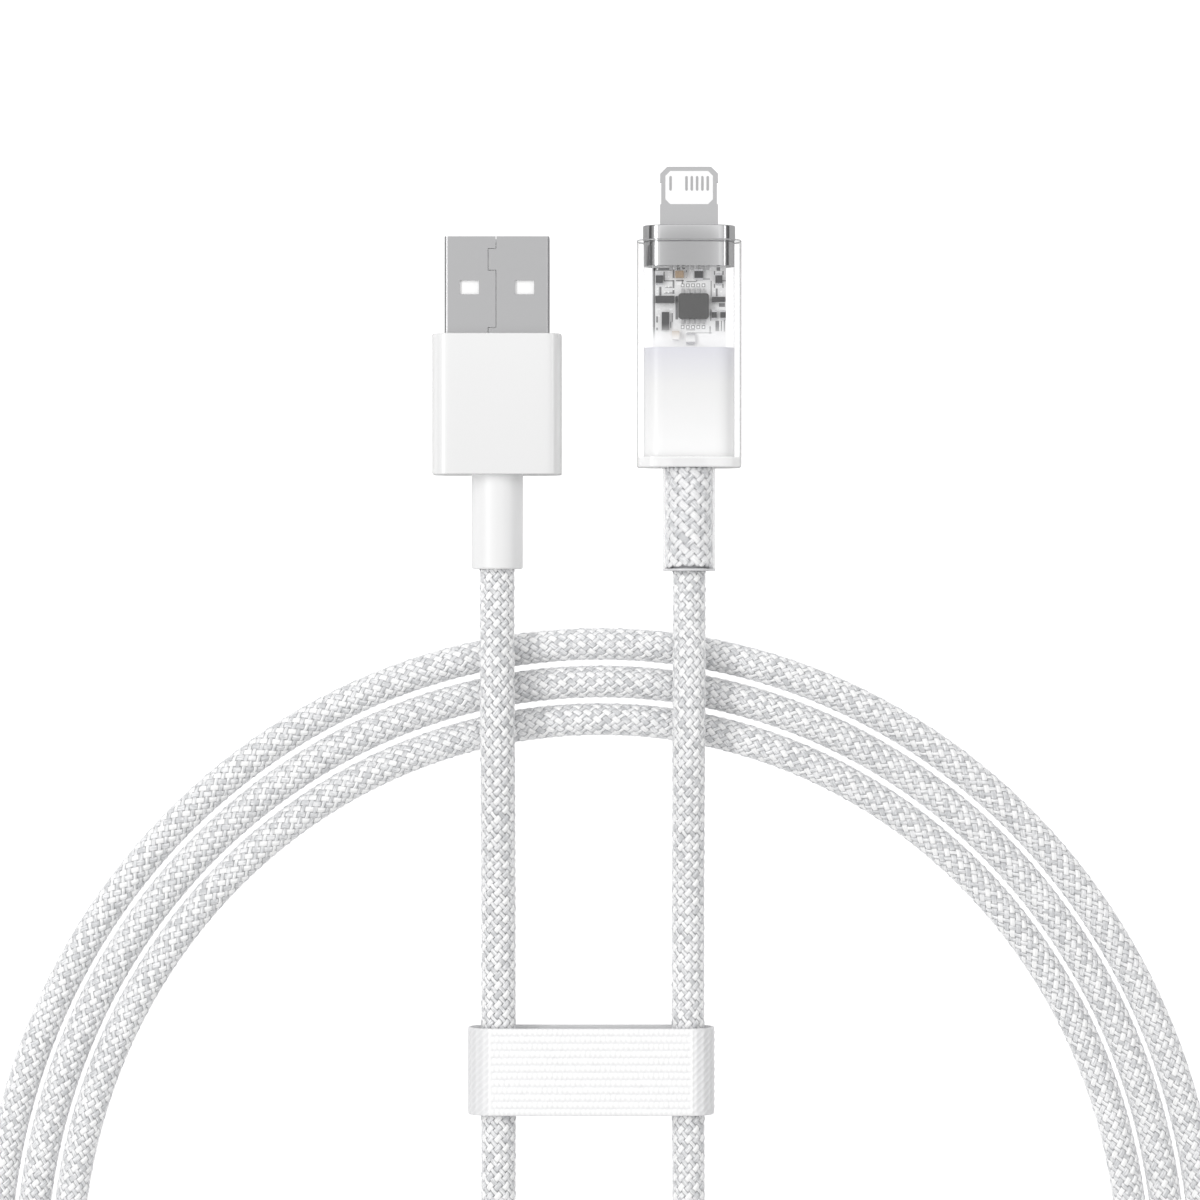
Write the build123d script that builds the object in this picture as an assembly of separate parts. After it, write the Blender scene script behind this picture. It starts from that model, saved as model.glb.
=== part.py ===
from build123d import *
import math
import os

# A charging cable: a type-A plug, a braided cord and a slim reversible device plug with a clear shell.
# It lies on a flat surface at z = 0. X runs across the plugs, Y from the cord towards the plug tips,
# and the origin is on the surface under the middle of the two plugs. All sizes are in millimetres.

# ---- driving dimensions ----
TYPE_A_X = -10.32          # plug axes, side by side and parallel
DEVICE_X = 11.72

CORD_DIAMETER = 3.8
COIL_HEIGHT = 3.74         # the turns lie one strand high
COIL_CENTRE_X = 1.5
COIL_CENTRE_Y = -104.5
COIL_INNER = (61.6, 64.2)  # half width and half height of the innermost turn's centreline
COIL_OUTER = (69.9, 72.9)  # and of the outermost turn's

SHELL_WIDTH = 12.0         # type-A plug: standard shell section
SHELL_HEIGHT = 4.5
SHELL_SHEET = 0.3
SHELL_CORNER = 0.4
SHELL_TIP_Y = 15.06
SHELL_REAR_Y = -3.7
LATCH_WINDOW = (2.2, 1.6)   # two on each broad side
LATCH_WINDOW_X = 3.16       # from the shell's middle
LATCH_WINDOW_Y = 9.22
SEAM_GAP = 0.08
SEAM_X = (-1.0, -0.1)       # the seam's two lines, from the shell's middle
SEAM_STEPS_Y = (13.65, 11.17, 4.61)
INSULATOR_TIP_GAP = 0.7
INSULATOR_HEIGHT = 1.9
CONTACT_X = (-3.5, -1.0, 1.0, 3.5)       # power contacts outside, data contacts inside
CONTACT_REACH = (9.0, 8.0, 8.0, 9.0)
CONTACT_GROOVE = (1.2, 0.4)
CONTACT_BLADE = (1.0, 0.3)
MOULD_WIDTH = 14.8         # type-A overmould
MOULD_HEIGHT = 8.0
MOULD_FRONT_Y = 3.90
MOULD_REAR_Y = -12.19
MOULD_CORNER = 2.0
MOULD_EDGE = 0.15
SHIELD_WALL = 0.3           # pressed can round the shell's rear
SHIELD_FRONT_Y = 1.6
SHIELD_REAR_Y = -7.0
INNER_MOULD_MARGIN = (1.4, 1.5)          # wider and higher than the shell
INNER_MOULD_REAR_Y = -11.2
TYPE_A_CRIMP_Y = (-10.8, -8.0)
TYPE_A_WIRE_REAR_Y = -8.0
CRIMP_WALL = 0.3
TYPE_A_RELIEF_DIAMETER = 5.9
TYPE_A_RELIEF_LENGTH = 10.85
TYPE_A_RELIEF_RIM = 0.25

TONGUE_WIDTH = 6.65        # device plug
TONGUE_THICKNESS = 1.5
TONGUE_TIP_Y = 23.23
TONGUE_ROOT_Y = 16.44
TONGUE_CHAMFER = 0.8
NOTCH_DEPTH = 0.13
NOTCH_Y = 20.2
NOTCH_LENGTH = 2.55
CARRIER_WIDTH = 5.45
CARRIER_LENGTH = 3.8
CARRIER_CORNER = 0.55
CARRIER_Y = 20.82
DEVICE_CONTACT_PITCH = 0.61
DEVICE_CONTACT_Y = 21.3
DEVICE_CONTACT_PAD = (0.3, 1.7, 0.15)    # width, length, thickness
FRONT_CONTACTS = (0, 3, 4, 5, 6, 7)      # positions fitted out of eight
COLLAR_FRONT_TIER = (10.6, 5.2, 2.2)     # width, height, corner
COLLAR_REAR_TIER = (10.4, 5.0, 2.1)
COLLAR_STEP_Y = 14.77
COLLAR_REAR_Y = 11.78
CASE_WIDTH = 12.0
CASE_HEIGHT = 7.0
CASE_WALL = 0.8
CASE_REAR_WALL = 1.0
CASE_CORNER = 2.6
CASE_BORE_CORNER = 2.1
CASE_FRONT_Y = 14.77
CASE_REAR_Y = -11.35
CORE_FRONT_Y = 2.4
BOARD_WIDTH = 8.5
BOARD_THICKNESS = 0.8
BOARD_FRONT_Y = COLLAR_REAR_Y
BOARD_REAR_Y = 0.4
DEVICE_CRIMP_Y = (-9.5, -6.0)
DEVICE_CORD_FRONT_Y = -6.0
WIRE_X = (-1.2, -0.4, 0.4, 1.2)
WIRE_DIAMETER = 0.6
WIRE_LIFT = 0.35            # of the wires' axes over the board
SLEEVE_DIAMETER = 6.04
SLEEVE_WALL = 0.2
SLEEVE_LENGTH = 11.9

CHIP_X = DEVICE_X + 0.51
CHIP_Y = 7.2
CHIP_SIZE = (3.5, 2.9, 0.9)
CHIP_CORNER = 0.35
CHIP_LEAD = (0.28, 0.6, 0.25)
CHIP_LEAD_PITCH = 0.6
# small parts as x from the device plug's axis, y, length along X, length along Y
CAPACITORS = ((-1.11, 10.85, 0.98, 0.79), (-1.54, 3.85, 0.83, 0.97))
RESISTORS = ((1.11, 10.85, 0.98, 0.79), (0.18, 3.5, 1.0, 0.77), (-2.72, 5.5, 0.85, 2.05))
TRANSISTORS = ((-2.78, 7.98, 2.2, 0.8), (3.38, 7.98, 1.5, 0.55), (-3.41, 10.3, 0.84, 0.84),
               (3.42, 10.3, 0.8, 0.84))
DIODES = ((2.9, 6.2, 0.53, 0.63), (3.9, 6.2, 0.62, 0.63))
TERMINAL = 0.22

RELIEF_BEND_RADIUS = 105.0  # both strain reliefs flex up a little, where the cord climbs onto the coil

STRAP_CENTRE_X = 0.45
STRAP_WIDTH = 28.5
STRAP_HEIGHT = 5.4
STRAP_BAND = 0.5
STRAP_REAR_Y = -85.7
STRAP_LENGTH = 10.0
STRAP_PATCH = (14.0, 9.0, 0.25)          # hook piece: width, length, thickness

HUMP_Z = 7.2               # the cord's height where it climbs over the coil
STRAP_Z = 2.7              # and through the strap

TYPE_A_Z = MOULD_HEIGHT / 2
DEVICE_Z = CASE_HEIGHT / 2
BOARD_TOP_Z = DEVICE_Z + 0.2
CORD_RADIUS = CORD_DIAMETER / 2
CRIMP_DIAMETER = CORD_DIAMETER + 2 * CRIMP_WALL
SLEEVE_BORE = SLEEVE_DIAMETER - 2 * SLEEVE_WALL
STRAND_Z = COIL_HEIGHT / 2

os.makedirs("parts", exist_ok=True)


def save(name, *solids):
    """Writes one node: a single solid, or a group of separate solids."""
    pieces = [piece for shape in solids for piece in shape.solids()]
    shape = pieces[0] if len(pieces) == 1 else Compound(children=pieces)
    shape.label = name
    export_step(shape, f"parts/{name}.step")


def block(x, z, low_y, high_y, width, height, corner=0.0):
    """A bar along Y on the axis x, z, with its section's corners rounded."""
    profile = RectangleRounded(width, height, corner) if corner else Rectangle(width, height)
    front = Plane(origin=(x, high_y, z), x_dir=(1, 0, 0), z_dir=(0, -1, 0))
    return extrude(front * profile, amount=high_y - low_y)


def rod(x, z, low_y, high_y, diameter):
    """A round bar along Y."""
    front = Plane(origin=(x, high_y, z), x_dir=(1, 0, 0), z_dir=(0, -1, 0))
    return extrude(front * Circle(diameter / 2), amount=high_y - low_y)


def plate(x, y, z, width, length, thickness, corner=0.0):
    """A flat piece on the plane z, centred on x and y."""
    profile = RectangleRounded(width, length, corner) if corner else Rectangle(width, length)
    return extrude(Plane(origin=(x, y, z)) * profile, amount=thickness)


def flexed(x, y, z, section, length):
    """A section carried from (x, y, z) towards -Y along a large arc that rises."""
    start = Plane(origin=(x, y, z), x_dir=(1, 0, 0), z_dir=(0, -1, 0))
    axis = Axis((x, y, z + RELIEF_BEND_RADIUS), (-1, 0, 0))
    return revolve(start * section, axis=axis, revolution_arc=math.degrees(length / RELIEF_BEND_RADIUS))


def flexed_end(y, z, length):
    """Where an arc of that length ends, as Y and Z, and the slope there as rise over run."""
    angle = length / RELIEF_BEND_RADIUS
    end_y = y - RELIEF_BEND_RADIUS * math.sin(angle)
    end_z = z + RELIEF_BEND_RADIUS * (1 - math.cos(angle))
    return end_y, end_z, math.tan(angle)


# ---- type-A plug ----
def type_a_shell():
    """Folded sheet-metal shell, with two latch windows on each broad side and a stepped seam on top."""
    outer = block(TYPE_A_X, TYPE_A_Z, SHELL_REAR_Y, SHELL_TIP_Y, SHELL_WIDTH, SHELL_HEIGHT, SHELL_CORNER)
    inner = block(TYPE_A_X, TYPE_A_Z, SHELL_REAR_Y, SHELL_TIP_Y,
                  SHELL_WIDTH - 2 * SHELL_SHEET, SHELL_HEIGHT - 2 * SHELL_SHEET, SHELL_CORNER - SHELL_SHEET)
    shell = outer - inner
    for side in (-1, 1):
        window = Box(*LATCH_WINDOW, SHELL_HEIGHT + 1)
        shell -= Pos(TYPE_A_X + side * LATCH_WINDOW_X, LATCH_WINDOW_Y, TYPE_A_Z) * window
    seam_top = TYPE_A_Z + SHELL_HEIGHT / 2
    left_x, right_x = (TYPE_A_X + x for x in SEAM_X)
    ends_y = (SHELL_TIP_Y, *SEAM_STEPS_Y, SHELL_REAR_Y)
    for i, (high_y, low_y) in enumerate(zip(ends_y, ends_y[1:])):
        x = left_x if i % 2 else right_x
        shell -= Pos(x, (high_y + low_y) / 2, seam_top) * Box(SEAM_GAP, high_y - low_y + SEAM_GAP, 1)
    for y in SEAM_STEPS_Y:
        shell -= Pos((left_x + right_x) / 2, y, seam_top) * Box(right_x - left_x, SEAM_GAP, 1)
    return shell


def type_a_insulator():
    """Moulded tongue that fills the upper half of the shell and carries the contacts on its lower face."""
    front_y = SHELL_TIP_Y - INSULATOR_TIP_GAP
    width = SHELL_WIDTH - 2 * SHELL_SHEET - 0.1
    top_z = TYPE_A_Z + SHELL_HEIGHT / 2 - SHELL_SHEET
    tongue = block(TYPE_A_X, top_z - INSULATOR_HEIGHT / 2, SHELL_REAR_Y, front_y, width, INSULATOR_HEIGHT, 0.35)
    groove_width, groove_depth = CONTACT_GROOVE
    for x, reach in zip(CONTACT_X, CONTACT_REACH):
        y = front_y - groove_width - reach / 2
        tongue -= Pos(TYPE_A_X + x, y, top_z - INSULATOR_HEIGHT) * Box(groove_width, reach, groove_depth)
    return tongue


def type_a_contacts():
    """Four plated strips in the tongue's grooves, with tails that reach the wires."""
    low_z = TYPE_A_Z + SHELL_HEIGHT / 2 - SHELL_SHEET - INSULATOR_HEIGHT - CONTACT_BLADE[1] / 2
    tail_y = SHELL_REAR_Y - 1.0
    strips = []
    for x, reach in zip(CONTACT_X, CONTACT_REACH):
        tip_y = SHELL_TIP_Y - 2.2 + reach - max(CONTACT_REACH)
        middle = Pos(TYPE_A_X + x, (tip_y + tail_y) / 2, low_z)
        strips.append(middle * Box(CONTACT_BLADE[0], tip_y - tail_y, CONTACT_BLADE[1]))
    return strips


def type_a_solder_joints():
    """A bead of solder under the end of each contact tail, where its wire is joined."""
    tail_z = TYPE_A_Z + SHELL_HEIGHT / 2 - SHELL_SHEET - 2.2
    beads = []
    for x in CONTACT_X:
        beads.append(plate(TYPE_A_X + x, SHELL_REAR_Y - 0.5, tail_z - 0.5, 0.9, 0.9, 0.5, 0.3))
    return beads


def type_a_wires():
    """Four insulated wires that fan out from the cord's end to the contact tails."""
    tail_z = TYPE_A_Z + SHELL_HEIGHT / 2 - SHELL_SHEET - 2.2
    wires = []
    for x in CONTACT_X:
        start = Vector(TYPE_A_X + x * 0.2, TYPE_A_WIRE_REAR_Y + 0.1, tail_z - 0.25)
        end = Vector(TYPE_A_X + x, SHELL_REAR_Y - 1.0, tail_z - 0.25)
        direction = (end - start).normalized()
        wires.append(extrude(Plane(origin=start, z_dir=direction) * Circle(0.32), amount=(end - start).length))
    return wires


def type_a_rear_shield():
    """Pressed can round the rear of the shell, under the overmould."""
    width, height = SHELL_WIDTH + 2 * SHIELD_WALL, SHELL_HEIGHT + 2 * SHIELD_WALL
    inside_y = SHIELD_REAR_Y + SHIELD_WALL
    outer = block(TYPE_A_X, TYPE_A_Z, SHIELD_REAR_Y, SHIELD_FRONT_Y, width, height, SHELL_CORNER + SHIELD_WALL)
    inner = block(TYPE_A_X, TYPE_A_Z, inside_y, SHIELD_FRONT_Y, SHELL_WIDTH, SHELL_HEIGHT, SHELL_CORNER)
    mouth = block(TYPE_A_X, TYPE_A_Z, SHIELD_REAR_Y, inside_y, 6.0, 3.0)
    return outer - inner - mouth


def crimp(x, z, low_y, high_y):
    """Metal ring that clamps the braid to the cord's end."""
    return rod(x, z, low_y, high_y, CRIMP_DIAMETER) - rod(x, z, low_y, high_y, CORD_DIAMETER)


def inner_mould_block(low_y, high_y):
    """The stiff inner moulding's outer form."""
    return block(TYPE_A_X, TYPE_A_Z, low_y, high_y, SHELL_WIDTH + INNER_MOULD_MARGIN[0],
                 SHELL_HEIGHT + INNER_MOULD_MARGIN[1], 1.2)


def type_a_inner_mould():
    """Stiff inner moulding that locks the shield, the crimp and the cord's end together."""
    body = inner_mould_block(INNER_MOULD_REAR_Y, SHIELD_FRONT_Y)
    body -= block(TYPE_A_X, TYPE_A_Z, SHIELD_REAR_Y, SHIELD_FRONT_Y, SHELL_WIDTH + 2 * SHIELD_WALL,
                  SHELL_HEIGHT + 2 * SHIELD_WALL, SHELL_CORNER + SHIELD_WALL)
    body -= rod(TYPE_A_X, TYPE_A_Z, TYPE_A_WIRE_REAR_Y, SHIELD_REAR_Y, CORD_DIAMETER)
    return body - rod(TYPE_A_X, TYPE_A_Z, INNER_MOULD_REAR_Y, TYPE_A_WIRE_REAR_Y, CRIMP_DIAMETER)


def type_a_overmould():
    """Outer grip, open at the front round the shell and at the rear round the strain relief."""
    body = block(TYPE_A_X, TYPE_A_Z, MOULD_REAR_Y, MOULD_FRONT_Y, MOULD_WIDTH, MOULD_HEIGHT, MOULD_CORNER)
    for y in (MOULD_FRONT_Y, MOULD_REAR_Y):
        body = fillet(body.edges().filter_by_position(Axis.Y, y - 0.01, y + 0.01), MOULD_EDGE)
    body -= inner_mould_block(INNER_MOULD_REAR_Y, SHIELD_FRONT_Y)
    body -= block(TYPE_A_X, TYPE_A_Z, SHIELD_FRONT_Y, MOULD_FRONT_Y, SHELL_WIDTH, SHELL_HEIGHT, SHELL_CORNER)
    return body - rod(TYPE_A_X, TYPE_A_Z, MOULD_REAR_Y, INNER_MOULD_REAR_Y, CORD_DIAMETER)


def flexed_sleeve(x, y, z, diameter, bore, length):
    """Round sleeve that flexes with the cord, with its rear end cut square."""
    return flexed(x, y, z, Circle(diameter / 2) - Circle(bore / 2), length)


def type_a_strain_relief():
    """Moulded sleeve behind the grip, with its rear rim rounded."""
    sleeve = flexed_sleeve(TYPE_A_X, MOULD_REAR_Y, TYPE_A_Z, TYPE_A_RELIEF_DIAMETER, CORD_DIAMETER,
                           TYPE_A_RELIEF_LENGTH)
    end_y = flexed_end(MOULD_REAR_Y, TYPE_A_Z, TYPE_A_RELIEF_LENGTH)[0]
    circumference = math.pi * TYPE_A_RELIEF_DIAMETER
    rim = [edge for edge in sleeve.edges() if edge.length > circumference - 0.5 and edge.center().Y < end_y + 1]
    return fillet(rim, TYPE_A_RELIEF_RIM)


# ---- device plug ----
def device_tongue_frame():
    """Metal frame of the plug tongue: chamfered tip, shallow side notches and a window for the contacts."""
    tongue = block(DEVICE_X, DEVICE_Z, COLLAR_REAR_Y, TONGUE_TIP_Y, TONGUE_WIDTH, TONGUE_THICKNESS)
    corners = tongue.edges().filter_by(Axis.Z).filter_by_position(Axis.Y, TONGUE_TIP_Y - 0.01, TONGUE_TIP_Y + 0.01)
    tongue = chamfer(corners, TONGUE_CHAMFER)
    for side in (-1, 1):
        notch_x = DEVICE_X + side * (TONGUE_WIDTH / 2 + 0.5 - NOTCH_DEPTH)
        notch = Pos(notch_x, NOTCH_Y, DEVICE_Z) * Box(1, NOTCH_LENGTH, 2 * TONGUE_THICKNESS)
        tongue -= notch
    return tongue - carrier_block(2 * TONGUE_THICKNESS)


def carrier_block(thickness):
    """The window's outline through a given thickness, with its four corners cut off."""
    outline = Pos(DEVICE_X, CARRIER_Y, DEVICE_Z) * Box(CARRIER_WIDTH, CARRIER_LENGTH, thickness)
    return chamfer(outline.edges().filter_by(Axis.Z), CARRIER_CORNER)


def contact_x(position):
    """Centre of one of the eight contact positions."""
    return DEVICE_X + (position - 3.5) * DEVICE_CONTACT_PITCH


def contact_group(positions, face):
    """Rounded contact pads flush with one broad side of the tongue."""
    face_z = DEVICE_Z + face * TONGUE_THICKNESS / 2
    width, length, thickness = DEVICE_CONTACT_PAD
    low_z = face_z - thickness if face > 0 else face_z
    return [plate(contact_x(i), DEVICE_CONTACT_Y, low_z, width, length, thickness, width / 2 - 0.001)
            for i in positions]


def device_contact_carrier():
    """Moulded insert that fills the tongue's window, with a pocket under each contact pad."""
    carrier = carrier_block(TONGUE_THICKNESS)
    for pad in contact_group(FRONT_CONTACTS, 1) + contact_group(range(8), -1):
        carrier -= pad
    return carrier


def device_collar():
    """Stepped metal collar round the tongue's root; its rear tier sits inside the case."""
    front = block(DEVICE_X, DEVICE_Z, COLLAR_STEP_Y, TONGUE_ROOT_Y, *COLLAR_FRONT_TIER)
    rear = block(DEVICE_X, DEVICE_Z, COLLAR_REAR_Y, COLLAR_STEP_Y, *COLLAR_REAR_TIER)
    slot = block(DEVICE_X, DEVICE_Z, COLLAR_REAR_Y, TONGUE_ROOT_Y, TONGUE_WIDTH, TONGUE_THICKNESS)
    return front + rear - slot


def case_inner(low_y, high_y):
    """The space inside the clear case."""
    return block(DEVICE_X, DEVICE_Z, low_y, high_y, CASE_WIDTH - 2 * CASE_WALL, CASE_HEIGHT - 2 * CASE_WALL,
                 CASE_BORE_CORNER)


def device_clear_case():
    """Clear moulded case with a closed rear wall, open at the front round the collar."""
    body = block(DEVICE_X, DEVICE_Z, CASE_REAR_Y, CASE_FRONT_Y, CASE_WIDTH, CASE_HEIGHT, CASE_CORNER)
    body -= case_inner(CASE_REAR_Y + CASE_REAR_WALL, CASE_FRONT_Y)
    return body - rod(DEVICE_X, DEVICE_Z, CASE_REAR_Y, CASE_REAR_Y + CASE_REAR_WALL, CORD_DIAMETER)


def device_core():
    """White potting that fills the rear of the case and grips the board and the cord."""
    rear_y = CASE_REAR_Y + CASE_REAR_WALL
    body = case_inner(rear_y, CORE_FRONT_Y)
    body -= Pos(DEVICE_X, (BOARD_REAR_Y + CORE_FRONT_Y) / 2, BOARD_TOP_Z - BOARD_THICKNESS / 2) * Box(
        BOARD_WIDTH, CORE_FRONT_Y - BOARD_REAR_Y, BOARD_THICKNESS)
    body -= rod(DEVICE_X, DEVICE_Z, rear_y, DEVICE_CORD_FRONT_Y, CRIMP_DIAMETER)
    for x in WIRE_X:
        body -= rod(DEVICE_X + x, BOARD_TOP_Z + WIRE_LIFT, DEVICE_CORD_FRONT_Y, CORE_FRONT_Y, WIRE_DIAMETER + 0.1)
    return body


def control_board():
    """Circuit board between the tongue's tails and the cord's wires."""
    y = (BOARD_FRONT_Y + BOARD_REAR_Y) / 2
    return plate(DEVICE_X, y, BOARD_TOP_Z - BOARD_THICKNESS, BOARD_WIDTH, BOARD_FRONT_Y - BOARD_REAR_Y,
                 BOARD_THICKNESS)


def controller_chip():
    """Moulded chip package in the middle of the board."""
    return plate(CHIP_X, CHIP_Y, BOARD_TOP_Z + 0.1, *CHIP_SIZE, CHIP_CORNER)


def chip_leads():
    """Five leads along each long side of the chip, soldered to the board."""
    leads = []
    for side in (-1, 1):
        for i in range(-2, 3):
            y = CHIP_Y + side * (CHIP_SIZE[1] + CHIP_LEAD[1]) / 2
            leads.append(plate(CHIP_X - 0.05 + i * CHIP_LEAD_PITCH, y, BOARD_TOP_Z, *CHIP_LEAD))
    return leads


def packages(parts, height):
    """Rectangular component bodies standing on the board."""
    return [plate(DEVICE_X + x, y, BOARD_TOP_Z, width, length, height) for x, y, width, length in parts]


def component_terminals():
    """Soldered end caps in front of and behind the small parts."""
    caps = []
    for x, y, width, length in RESISTORS[:2] + TRANSISTORS[2:] + DIODES:
        for side in (-1, 1):
            caps.append(plate(DEVICE_X + x, y + side * (length + TERMINAL) / 2, BOARD_TOP_Z, width, TERMINAL, 0.3))
    return caps


def device_tails():
    """Contact tails that leave the tongue's root and are soldered to the board's front edge."""
    return [plate(contact_x(i), COLLAR_REAR_Y - 0.2, BOARD_TOP_Z, 0.3, 0.4, 0.15) for i in range(8)]


def device_wires():
    """Four insulated wires from the cord's end to the board."""
    return [rod(DEVICE_X + x, BOARD_TOP_Z + WIRE_LIFT, DEVICE_CORD_FRONT_Y, CORE_FRONT_Y - 0.2, WIRE_DIAMETER)
            for x in WIRE_X]


# ---- cord ----
def cord_end(x, z, front_y, rear_y, relief_length):
    """The cord's own end inside a plug: straight through the body, then flexed with the strain relief."""
    straight = rod(x, z, rear_y, front_y, CORD_DIAMETER)
    return straight + flexed(x, rear_y, z, Circle(CORD_RADIUS), relief_length)


def leg_tube(name, route):
    """A round tube along straight runs joined by tangent arcs, each as large as its two runs allow."""
    points = [Vector(*point) for point in route]
    runs = [b - a for a, b in zip(points, points[1:])]
    radii = []
    for before, after in zip(runs, runs[1:]):
        half_turn = math.radians(before.get_angle(after)) / 2
        radii.append(0.45 * min(before.length, after.length) / math.tan(half_turn))
    path = FilletPolyline(*points, radius=radii)
    tube = sweep(Plane(origin=points[0], z_dir=runs[0]) * Circle(CORD_RADIUS), path=path)
    print(name, "radii", [round(r, 1) for r in radii], "turns",
          [round(a.get_angle(b), 1) for a, b in zip(runs, runs[1:])], "runs", [round(r.length, 1) for r in runs])
    print(name, "length", round(path.length, 1), "volume over section times length",
          round(tube.volume / (path.length * math.pi * CORD_RADIUS**2), 4))
    return tube


TYPE_A_EXIT = flexed_end(MOULD_REAR_Y, TYPE_A_Z, TYPE_A_RELIEF_LENGTH)
DEVICE_EXIT = flexed_end(CASE_REAR_Y, DEVICE_Z, SLEEVE_LENGTH)
LEG_A_ROUTE = [
    (TYPE_A_X, TYPE_A_EXIT[0], TYPE_A_EXIT[1]),
    (TYPE_A_X, TYPE_A_EXIT[0] - 5.0, TYPE_A_EXIT[1] + 5.0 * TYPE_A_EXIT[2]),
    (TYPE_A_X, -36.0, HUMP_Z),
    (TYPE_A_X, -43.5, HUMP_Z),
    (TYPE_A_X, -51.5, 5.3),
    (TYPE_A_X, -61.0, STRAP_Z),
    (TYPE_A_X + 0.1, -78.0, STRAP_Z),
    (TYPE_A_X, -108.0, STRAP_Z),
    (TYPE_A_X - 1.0, -128.0, 2.2),
    (-19.5, -143.5, STRAND_Z),
    (-36.0, -149.0, STRAND_Z),
    (-50.0, -139.5, STRAND_Z),
    (-56.5, -126.0, STRAND_Z),
]
LEG_B_ROUTE = [
    (DEVICE_X, DEVICE_EXIT[0], DEVICE_EXIT[1]),
    (DEVICE_X, DEVICE_EXIT[0] - 4.5, DEVICE_EXIT[1] + 4.5 * DEVICE_EXIT[2]),
    (DEVICE_X, -36.0, HUMP_Z),
    (DEVICE_X, -43.5, HUMP_Z),
    (DEVICE_X, -51.5, 5.2),
    (DEVICE_X, -61.0, STRAP_Z),
    (DEVICE_X - 0.1, -78.0, STRAP_Z),
    (DEVICE_X, -108.0, STRAP_Z),
    (DEVICE_X + 1.0, -128.0, 2.2),
    (20.0, -144.5, STRAND_Z),
    (35.0, -152.0, 3.4),
    (47.5, -150.5, HUMP_Z),
    (58.5, -143.5, HUMP_Z),
    (66.0, -131.0, 3.4),
    (70.2, -118.5, STRAND_Z),
]


def cord_coil():
    """The coil's outer shape: a flat oval ring one strand high, with rounded edges."""
    ring = oval(COIL_OUTER, CORD_RADIUS) - oval(COIL_INNER, -CORD_RADIUS)
    body = extrude(Pos(COIL_CENTRE_X, COIL_CENTRE_Y, 0) * ring, amount=COIL_HEIGHT)
    return fillet(body.edges(), CORD_RADIUS - 0.15)


def oval(half_sizes, offset):
    """An oval outline, offset from a turn's centreline."""
    return Ellipse(half_sizes[0] + offset, half_sizes[1] + offset)


# ---- strap ----
def strap_section(inset):
    """The strap's closed loop seen along the cord: flat top and bottom with round ends."""
    width = STRAP_WIDTH - 2 * inset
    height = STRAP_HEIGHT - 2 * inset
    return block(STRAP_CENTRE_X, STRAP_HEIGHT / 2, STRAP_REAR_Y, STRAP_REAR_Y + STRAP_LENGTH,
                 width, height, height / 2 - 0.01)


def strap_hook_patch():
    """The hook piece under the loop, flush with its underside, in its own shallow seat."""
    return plate(STRAP_CENTRE_X, STRAP_REAR_Y + STRAP_LENGTH / 2, 0, *STRAP_PATCH)


def strap_band():
    """Woven loop tape closed round both legs of the cord."""
    return strap_section(0) - strap_section(STRAP_BAND) - strap_hook_patch()


# ---- write every node ----
save("type_a_shell", type_a_shell())
save("type_a_insulator", type_a_insulator())
save("type_a_contacts", *type_a_contacts())
save("type_a_solder_joints", *type_a_solder_joints())
save("type_a_wires", *type_a_wires())
save("type_a_rear_shield", type_a_rear_shield())
save("type_a_crimp", crimp(TYPE_A_X, TYPE_A_Z, *TYPE_A_CRIMP_Y))
save("type_a_inner_mould", type_a_inner_mould())
save("type_a_overmould", type_a_overmould())
save("type_a_strain_relief", type_a_strain_relief())
save("type_a_cord_end", cord_end(TYPE_A_X, TYPE_A_Z, TYPE_A_WIRE_REAR_Y, MOULD_REAR_Y, TYPE_A_RELIEF_LENGTH))

save("device_tongue_frame", device_tongue_frame())
save("device_contact_carrier", device_contact_carrier())
save("device_contacts_front", *contact_group(FRONT_CONTACTS, 1))
save("device_contacts_back", *contact_group(range(8), -1))
save("device_collar", device_collar())
save("device_clear_case", device_clear_case())
save("device_core", device_core())
save("control_board", control_board())
save("controller_chip", controller_chip())
save("chip_leads", *chip_leads())
save("board_capacitors", *packages(CAPACITORS, 0.8))
save("board_resistors", *packages(RESISTORS, 0.5))
save("board_transistors", *packages(TRANSISTORS, 0.7))
save("board_diodes", *packages(DIODES, 0.5))
save("component_terminals", *component_terminals())
save("device_tails", *device_tails())
save("device_wires", *device_wires())
save("device_crimp", crimp(DEVICE_X, DEVICE_Z, *DEVICE_CRIMP_Y))
save("device_sleeve", flexed_sleeve(DEVICE_X, CASE_REAR_Y, DEVICE_Z, SLEEVE_DIAMETER, SLEEVE_BORE, SLEEVE_LENGTH))
save("device_sleeve_braid", flexed_sleeve(DEVICE_X, CASE_REAR_Y, DEVICE_Z, SLEEVE_BORE, CORD_DIAMETER,
                                          SLEEVE_LENGTH))
save("device_cord_end", cord_end(DEVICE_X, DEVICE_Z, DEVICE_CORD_FRONT_Y, CASE_REAR_Y, SLEEVE_LENGTH))

save("cord_type_a_leg", leg_tube("cord_type_a_leg", LEG_A_ROUTE))
save("cord_coil", cord_coil())
save("cord_device_leg", leg_tube("cord_device_leg", LEG_B_ROUTE))

save("strap_band", strap_band())
save("strap_hook_patch", strap_hook_patch())
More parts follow.
